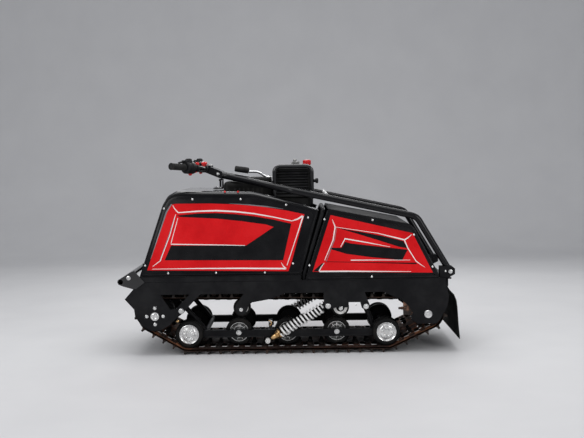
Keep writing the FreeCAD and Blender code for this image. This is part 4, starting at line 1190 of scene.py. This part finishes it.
def build_flap():
    """A curved rubber sheet, thickened into ribs, with its strip and bolts."""
    half = span("mudflap")[1].y
    line = [(-673, 284.6), (-685, 265), (-703, 246), (-713, 222), (-717, 193), (-719, 163),
        (-720.5, 138), (-722, 113), (-724.5, 86), (-727, 66), (-728.4, 53)]
    ribs = [-196, -140, -84, -28, 28, 84, 140, 196]
    across = sorted({-half, half, *(rib - 5 for rib in ribs), *(rib + 5 for rib in ribs)})

    def place(row, column):
        x, z = line[column]
        trim = 1 if column < len(line) - 1 else 1 - 6 / half
        return x, across[row] * trim, z

    flap = grid(len(line) - 1, len(across) - 1, place)
    thicken(flap, 2.8, -1)
    settle(flap)
    ribs_top = 256
    rib_height = 1.4

    def is_rib(face):
        away = min(abs(face.center.y / MM - rib) for rib in ribs)
        return face.normal.x < -0.3 and face.center.z < ribs_top * MM and away < 4

    edit(flap, is_rib)
    bpy.ops.mesh.extrude_region_shrink_fatten(TRANSFORM_OT_shrink_fatten={"value": rib_height * MM})
    close(flap, 25)
    flap_rubber = finish("flap_rubber", [(0.004, 0.004, 0.004), (0.009, 0.009, 0.009),
        (0.02, 0.018, 0.016)], 13, (0.8, 0.95), 0.2, bump_grain=400, shine=0.05)
    fit("Grid", [flap], "track_rubber", flap_rubber, "mudflap")
    strip = block((-1.5, -half + 6, -9), (1.5, half - 6, 9), 0.6)
    bolts = [laid(hex_bolt(5.5, 5), (-1.5, y, 0), (-10, y, 0)) for y in (-190, -95, 0, 95, 190)]
    tilt = Matrix.Rotation(math.radians(19), 4, "Y")
    for piece in [strip] + bolts:
        piece.data.transform(moved((-681.5, 0, 271)) @ tilt)
    fit("flap_strip", [strip], "frame_black", powder_coat)
    fit("flap_bolts", bolts, "bright_steel", pressed_steel)


build_flap()


def build_adjusters():
    """Rusty screw adjusters of the idler's axle, inside the side plates."""
    rear, front, height = -556, -488, 190
    screw = turned([(0, -30), (5, -30), (5, 20), (0, 20)], sides=20)
    nut = turned([(0, 0), (7, 0), (7, 8), (0, 8)], sides=6, smooth=20)
    parts = [block((rear, 232, height - 30), (front, 247, height + 36), 6)]
    parts += [laid(part, (front, 240, height), (front + 10, 240, height)) for part in (screw, nut)]
    rust = finish("rusty_steel", [(0.008, 0.007, 0.007), (0.03, 0.016, 0.011), (0.36, 0.17, 0.10)],
        34, (0.55, 0.85), 0.5, bump_grain=500)
    fit("idler_adjusters", both(parts), "cast_grey", rust)


build_adjusters()


def build_edges():
    """Rolled edges of the deck, the hitch's bolts, and the grease nipples on their seats."""
    edge = strand([(x, plate_face - 1.2, 319.6) for x in (-640, -300, 0, 300, 640)], 2.2,
        smooth=False)
    lip = strand([(x, 268.4, 343.2) for x in (-50, 300, 639)], 1.8, smooth=False)
    fit("deck_edges", both([edge, lip]), "frame_black", hood_gloss)
    fit("hitch_bolts", both(stamp(hex_bolt(8, 6), (-690, 32, 303))), "bright_steel", pressed_steel)
    seats = [block((476, 244, 139), (490, 252, 159), 1.5), block((76, 190, 124), (93, 203, 143), 2)]
    fit("grease_seats", seats, "frame_black", tube_gloss)
    nipple = turned([(0, -2), (6.2, -2), (6.2, 2), (4, 3.4), (4, 6), (5, 7.6), (3.4, 9.5), (0, 10)],
        (483, 251, 149), sides=14, smooth=30)
    hook = strand([(92, 203, 138), (88, 207, 138), (80, 208, 131), (81, 207, 121), (88, 206, 117)],
        2.6)
    fit("grease_nipples", [nipple, hook], "bright_steel", gold_anodised)
    fit("grease_bolt", stamp(hex_bolt(5, 4), (84, 203, 134)), "bright_steel", pressed_steel)


build_edges()

# ---------------------------------------------------------------- engine
# A small four-stroke engine is bolted into the front hood's opening: a pressed fan cover with
# its pull starter, a cast finned cylinder, an air filter, a moulded tank and a louvred
# silencer. The chrome reverse lever stands on top and the tiller's padded rest ahead of it.

cover_low, cover_high = span("engine_cover")
cowl = 18
starter_z = 655
guard_low, guard_high = span("muffler_guard")
tank_low, tank_high = span("fuel_tank")
cap_low, cap_high = span("filler_cap")
cap_x = (cap_low.x + cap_high.x) / 2
cap_y = -60
chrome = finish("chrome", [(0.70, 0.70, 0.70), (0.90, 0.90, 0.90)], 25, (0.05, 0.16), 0.02,
    metallic=1.0)
red_plastic = finish("red_plastic", [(0.52, 0.006, 0.008), (0.72, 0.012, 0.014)], 40, (0.28, 0.42),
    0.1, shine=0.4)
grip_rubber = finish("grip_rubber", [(0.005, 0.005, 0.005), (0.012, 0.012, 0.012),
    (0.022, 0.021, 0.02)], 40, (0.55, 0.8), 0.25, bump_grain=900, shine=0.3)
louvre_black = finish("louvre_black", [(0.010, 0.010, 0.011), (0.024, 0.024, 0.025)], 25,
    (0.28, 0.42), 0.1, shine=0.22)


def upright(piece, place):
    """Stands a turned piece on its end at a place."""
    return laid(piece, place, (place[0], place[1], place[2] + 10))


def is_flat_top(face):
    return face.normal.z > 0.99


def build_fan_cover():
    """Fan cover with recessed slotted sides, and the pull starter in front."""
    x, back, z = cover_low
    front, left, top = cover_high
    shoulder = top - cowl
    cover = block((x, back + 0.6, z), (front, left - 0.6, shoulder), 18, 5)
    inset(cover, lambda face: abs(face.normal.y) > 0.99, 9, -3)
    inset(cover, is_flat_top, 16, -2.5)
    parts = [cover]
    for number in range(7):
        rib = x + 42 + number * 20
        for near, far in ((left - 5, left - 0.8), (back + 0.8, back + 5)):
            parts.append(block((rib, near, z + 62), (rib + 7, far, shoulder - 30), 1.5))
        parts.append(block((rib, -44, shoulder - 4), (rib + 6, 44, shoulder - 0.4), 1.5))
    hump = block((x + 6, back + 5, shoulder - 30), (front - 95, left - 5, top), 12, 4)
    inset(hump, is_flat_top, 7, -2)
    parts.append(hump)
    for number in range(5):
        rib = x + 26 + number * 17
        parts.append(block((rib, -56, top - 5), (rib + 6, 56, top - 0.3), 1.5))
    fit("fan_cover", parts, "engine_black", engine_paint, "engine_cover")
    starter = turned([(0, -4), (66, -4), (68, 2), (64, 8), (50, 11), (48, 9), (40, 9), (37, 12),
        (22, 14), (18, 11), (0, 11)], sides=48, smooth=28)
    laid(starter, (front - 12, 0, starter_z), (front + 4, 0, starter_z))
    slot = block((front - 4, -1.8, starter_z + 41), (front + 0.5, 1.8, starter_z + 60), 0.8)
    slots = spread(slot, (0, 0, starter_z), 12, axis="X")
    handle = block((front - 16, -62, 720), (front + 4, -34, 731), 4, 3)
    fit("starter", [starter] + slots, "engine_black", louvre_black)
    fit("starter_handle", [handle], "grip_rubber", grip_rubber)


build_fan_cover()


def build_cylinder():
    """Cooling fins and an air filter box on the engine, either side of the cover."""
    fins = [block((92, -136, z), (236, -82, z + 3.4), 1) for z in range(614, 670, 8)]
    for fin in fins:
        taper(fin, lambda face: face.normal.y < -0.9, 0.82)
    fins.append(block((110, -128, 605), (218, -78, 664), 6, 3))
    fins.append(block((124, -138, 632), (204, -128, 646), 2))
    fit("cylinder_fins", fins, "engine_black", engine_paint)
    box = block((96, 84, 606), (238, 137, 652), 8, 3)
    lid = block((92, 82, 652), (242, 139, 668), 5, 3)
    inset(lid, is_flat_top, 9, -3)
    fit("air_filter", [box, lid], "engine_black", black_plastic)
    knob = turned([(0, 0), (9, 0), (9, 5), (6, 8), (0, 8)], sides=8, smooth=30)
    bolts = [upright(knob, (166, 110, 665))]
    for x, y in ((-20, 110), (-20, -110), (60, 118), (60, -118), (232, 30)):
        bolts.append(upright(hex_bolt(6, 5), (x, y, 611)))
    fit("engine_bolts", bolts, "bright_steel", pressed_steel)


build_cylinder()


def build_silencer():
    """Louvred silencer shield with a rolled rim."""
    rear, z = guard_low.x, guard_low.z
    ahead, left, top = guard_high
    front = left - 7.2
    body = block(guard_low, (ahead, left - 7, top), 9, 4)
    inset(body, lambda face: face.normal.y > 0.99, 3, -6)
    rim = [(ahead - 4, z + 60), (ahead - 4, top - 5), (rear + 4, top - 5), (rear + 4, z + 60)]
    rim_bar = strand([(along, front + 3, high) for along, high in rounded(rim, [6, 14, 14, 6])],
        3.4, cyclic=True, smooth=False)
    slats = []
    first, step = 68, 12.2
    for number in range(10):
        high = z + first + number * step
        slat = block((rear + 5, front - 5, high - 1), (ahead - 5, front + 6.5, high + 1), 0.6)
        slat.data.transform(around((0, front, high), -38, "X"))
        slats.append(slat)
    fit("silencer_shield", [body, rim_bar], "engine_black", engine_paint, "muffler_guard")
    fit("louvres", slats, "engine_black", louvre_black)


build_silencer()


def build_tank():
    """Plastic tank with its seam, neck and ribbed red cap."""
    tank = block(tank_low, tank_high, 22, 5)
    band_z = tank_high.z - 62
    edit(tank)
    bpy.ops.mesh.bisect(plane_co=(0, 0, band_z * MM), plane_no=(0, 0, 1), use_fill=False)
    leave()
    rear, right = tank_low.x + 1, tank_low.y + 1
    ahead, left = tank_high.x - 1, tank_high.y - 1
    corners = [(ahead, right), (ahead, left), (rear, left), (rear, right)]
    seam = strand([(x, y, band_z) for x, y in rounded(corners, [21] * 4)], 2.4, cyclic=True,
        smooth=False)
    neck = upright(turned([(0, -4), (23, -4), (23, 1), (21, 3), (17, 3), (17, 16), (0, 16)]),
        (cap_x, cap_y, tank_high.z - 1))
    fit("fuel_tank_shell", [tank, seam, neck], "engine_black", black_plastic, "fuel_tank")
    top = cap_high.z
    cap = upright(turned([(0, 0), (17, 0), (17, 2), (16.2, 3), (16.2, 19), (14.6, 21.6), (11, 22.6),
        (10, 21.6), (0, 21.6)]), (cap_x, cap_y, top - 22.8))
    rib = block((cap_x + 15, cap_y - 1.8, top - 20.5), (cap_x + 18.6, cap_y + 1.8, top - 2.4), 0.8)
    bar = block((cap_x - 11, cap_y - 3.5, top - 3), (cap_x + 11, cap_y + 3.5, top), 1.5)
    fit("tank_cap", [cap, bar] + spread(rib, (cap_x, cap_y, 0), 14, axis="Z"), "knob_red",
        red_plastic, "filler_cap")


build_tank()


def build_fittings():
    """Vent fitting on the silencer, a knob on the guard and two red plugs in the hood."""
    stem = upright(turned([(0, 0), (14, 0), (14, 4), (10.5, 5), (10.5, 12), (8.5, 13), (8.5, 19),
        (12, 20), (12, 28), (8, 29.5), (8, 37), (6, 39.5), (0, 40)], sides=24, smooth=30),
        (-31, 50, guard_high.z - 0.5))
    arm = strand([(-14, 50, 815), (-31, 50, 822), (-50, 50, 819)], 6)
    nut = laid(turned([(0, 0), (8, 0), (8, 8), (0, 8)], sides=6, smooth=20), (-44, 50, 820),
        (-54, 50, 818.4))
    dull = finish("dull_alloy", [(0.10, 0.10, 0.10), (0.26, 0.26, 0.25), (0.42, 0.41, 0.40)], 70,
        (0.3, 0.5), 0.1, metallic=0.6)
    fit("vent_fitting", [stem, arm, nut], "cast_grey", dull)
    rear = span("guard_frame")[0].x
    knob = turned([(0, 0), (7, 0), (7, 6), (11, 8), (11.5, 15), (9, 19), (0, 20)], sides=24)
    fit("side_knob", [laid(knob, (rear, 107, 740), (rear - 10, 107, 740))], "grip_rubber",
        black_plastic)
    plug = [(0, -2), (4.2, -2), (4.2, 1), (3.2, 2.4), (0, 3)]
    plugs = [turned(plug, (x, side_face(z) - 4.5, z), sides=20)
        for x, z in ((269, 702), (213, 701))]
    fit("hood_plugs", plugs, "knob_red", red_plastic)


build_fittings()


def build_lever():
    """Chrome reverse lever with a rubber grip, and the tiller's rest with its pad."""
    y = 30
    top = cover_high.z
    path = [(84, -5), (96, 1.5), (110, 5.5), (123, 16), (136, 22), (150, 23.5), (177, 23.8)]
    rod = strand([(x, y, top + rise) for x, rise in path], 5.7)
    foot = upright(turned([(0, 0), (14, 0), (14, 3), (10, 6), (9, 10), (0, 10)], sides=24),
        (89, y, top - 3))
    fit("reverse_rod", [rod, foot], "bright_steel", chrome, "reverse_lever")
    profile = [(0, 0), (9, 0), (11, 2)]
    for number in range(9):
        start = 4 + number * 5.8
        profile += [(13.9, start), (13.9, start + 3.6), (12.4, start + 4.2), (12.4, start + 5.2)]
    grip = turned(profile + [(13.9, 59), (11, 64), (0, 65)], sides=28, smooth=30)
    fit("lever_grip", [laid(grip, (176, y, top + 28.5), (240, y, top + 38.6))], "grip_rubber",
        grip_rubber)
    rest_low, rest_high = span("tiller_rest")
    pin = strand([(299, 24, z) for z in (710, 730, 746)], 4, smooth=False)
    tabs = [upright(hex_bolt(5, 4.5), (x, side, rest_low.z + 4)) for x in (303, 330)
        for side in (-34, 34)]
    fit("rest_fittings", [pin] + tabs, "bright_steel", chrome)
    pad = block((rest_low.x + 1.2, -24, rest_high.z - 9), (rest_low.x + 19, 24, rest_high.z - 0.2),
        1.8)
    fit("rest_pad", [pad], "grip_rubber", grip_rubber)


build_lever()

# ---------------------------------------------------------------- tiller
# The handlebar lies in a welded clamp at the tiller's end, under two bolted saddles. It has
# ribbed rubber grips, a lever perch and switch body on each side, and a red stop switch.

clamp_low = span("handlebar_clamp")[0]
bar_low = span("handlebar")[0]
bar_radius = 11
bar_middle = bar_low + Vector((bar_radius, -bar_low.y, bar_radius))
bar_bend = bar_middle + Vector((0, 128, 0))
bar_end = bar_middle + Vector((118, 302, 14))
clamp_slope = 39 / 95


def on_bar(share, x=0, y=0, z=0):
    """A place between the bar's bend and its left end, moved by an offset."""
    return bar_bend.lerp(bar_end, share) + Vector((x, y, z))


def build_clamp_details():
    """Saddles over the handlebar and the bolts through the clamp."""
    middle = bar_middle.x
    saddles = []
    bolts = []
    for y in (-44, 44):
        saddles.append(turned(mirrored([(11.2, -10), (16.5, -10), (17.4, -9)]),
            (middle, y, bar_middle.z)))
        for x in (middle - 17, middle + 17):
            top = clamp_slope * (x - clamp_low.x) + clamp_low.z + 34
            saddles.append(block((x - 8, y - 10, top - 2), (x + 8, y + 10, top + 3), 1.2))
            bolts.append(upright(hex_bolt(5, 5), (x + math.copysign(2, x - middle), y, top + 3)))
    fit("bar_saddles", saddles, "frame_black", tube_gloss, body="tiller")
    bolts += both(stamp(hex_bolt(4.6, 4.5), (313, 64, 775)))
    fit("clamp_bolts", bolts, "bright_steel", pressed_steel, body="tiller")


build_clamp_details()


def build_grips():
    """Ribbed rubber grips with a flange at the inner end."""
    start = on_bar(0.6)
    length = (bar_end - start).length
    profile = [(11.05, 0), (15, 0), (15, 3), (13, 4.5)]
    count = 15
    step = (length - 14) / count
    for number in range(count):
        base = 5.5 + number * step
        profile += [(13, base), (14.2, base + 0.8), (14.2, base + step - 2.6),
            (13, base + step - 1.8)]
    profile += [(13.2, length - 7), (15, length - 5), (15, length - 1), (14, length),
        (11.05, length)]
    grip = laid(turned(profile, sides=32, smooth=30), start, bar_end)
    fit("handle_grips", both([grip]), "grip_rubber", grip_rubber, "grips", body="tiller")
    plug = turned([(0, -4), (9.6, -4), (9.6, 0.2), (0, 0.8)], sides=20)
    laid(plug, bar_end, bar_end * 2 - start)
    fit("bar_plugs", both([plug]), "grip_rubber", grip_rubber, body="tiller")


build_grips()


def build_controls():
    """Switch bodies, lever perches with short blades, and their small buttons."""
    start = on_bar(0.34)
    stop = on_bar(0.58)
    length = (stop - start).length
    shell = turned([(11.1, 0), (23, 0), (26, 2), (26.6, 5), (26.6, 22), (25, 23.4), (25, 25.4),
        (26.6, 27), (26.6, length - 5), (24, length - 1.5), (22, length), (11.1, length)], sides=36,
        smooth=30)
    laid(shell, start, stop)
    perch = upright(turned([(0, 0), (16.6, 0), (16.6, 26), (15, 29), (15, 33), (13.5, 37),
        (9, 39.6), (0, 39.6)], sides=32), on_bar(0.46))
    nose = block((-9, -16, -7), (18, 16, 7), 4, 3)
    nose.data.transform(moved(on_bar(0.46, 7, 4, 26)) @ Matrix.Rotation(math.radians(52), 4, "Z"))
    blade = strand([on_bar(0.46, 12, 6, 28), on_bar(0.56, 14, 2, 25), on_bar(0.68, 12, 0, 18)], 4.2)
    parts = [shell, perch, nose, blade]
    right = [copied(part, OTHER_SIDE) for part in parts]
    fit("control_right_body", right, "wheel_plastic", black_plastic, "control_right", body="tiller")
    fit("control_left_body", parts, "wheel_plastic", black_plastic, "control_left", body="tiller")
    buttons = [upright(turned([(0, -4), (9, -4), (9, 3), (7, 7), (0, 8)], sides=24),
        on_bar(0.2, z=19)), laid(turned([(0, 0), (8, 0), (8, 5), (6, 8), (0, 8)], sides=24),
        on_bar(0.42, z=-24), on_bar(0.42, 0, 4, -34)),
        laid(turned([(0, 0), (7, 0), (7, 4), (5, 7), (0, 7)], sides=24), on_bar(0.26, z=-12),
        on_bar(0.26, 0, 4, -22))]
    collar = laid(turned(mirrored([(11.1, -9), (16, -9), (17, -7)])), on_bar(0.23), on_bar(0.4))
    fit("control_buttons", both(buttons), "knob_red", red_plastic, body="tiller")
    fit("button_collars", both([collar]), "wheel_plastic", black_plastic, body="tiller")


build_controls()


def build_stop_switch():
    """Red mushroom switch on a black body clamped to the handlebar's middle."""
    place = bar_middle + Vector((0, 92, 0))
    foot = bar_middle + Vector((0, 92, 9))
    ring = turned(mirrored([(11.1, -11), (16, -11), (17, -9.5)]), place)
    stem = upright(turned([(0, 0), (11, 0), (11, 3), (10, 5), (0, 5)], sides=28), foot)
    fit("stop_switch_body", [ring, stem], "wheel_plastic", black_plastic, body="tiller")
    button = turned([(0, 0), (11.6, 0), (11.6, 8), (10, 9), (10, 11), (13, 12), (13.4, 15),
        (12.8, 18), (9, 20.5), (0, 21)], sides=32)
    fit("stop_button", [upright(button, foot)], "knob_red", red_plastic, body="tiller")


build_stop_switch()
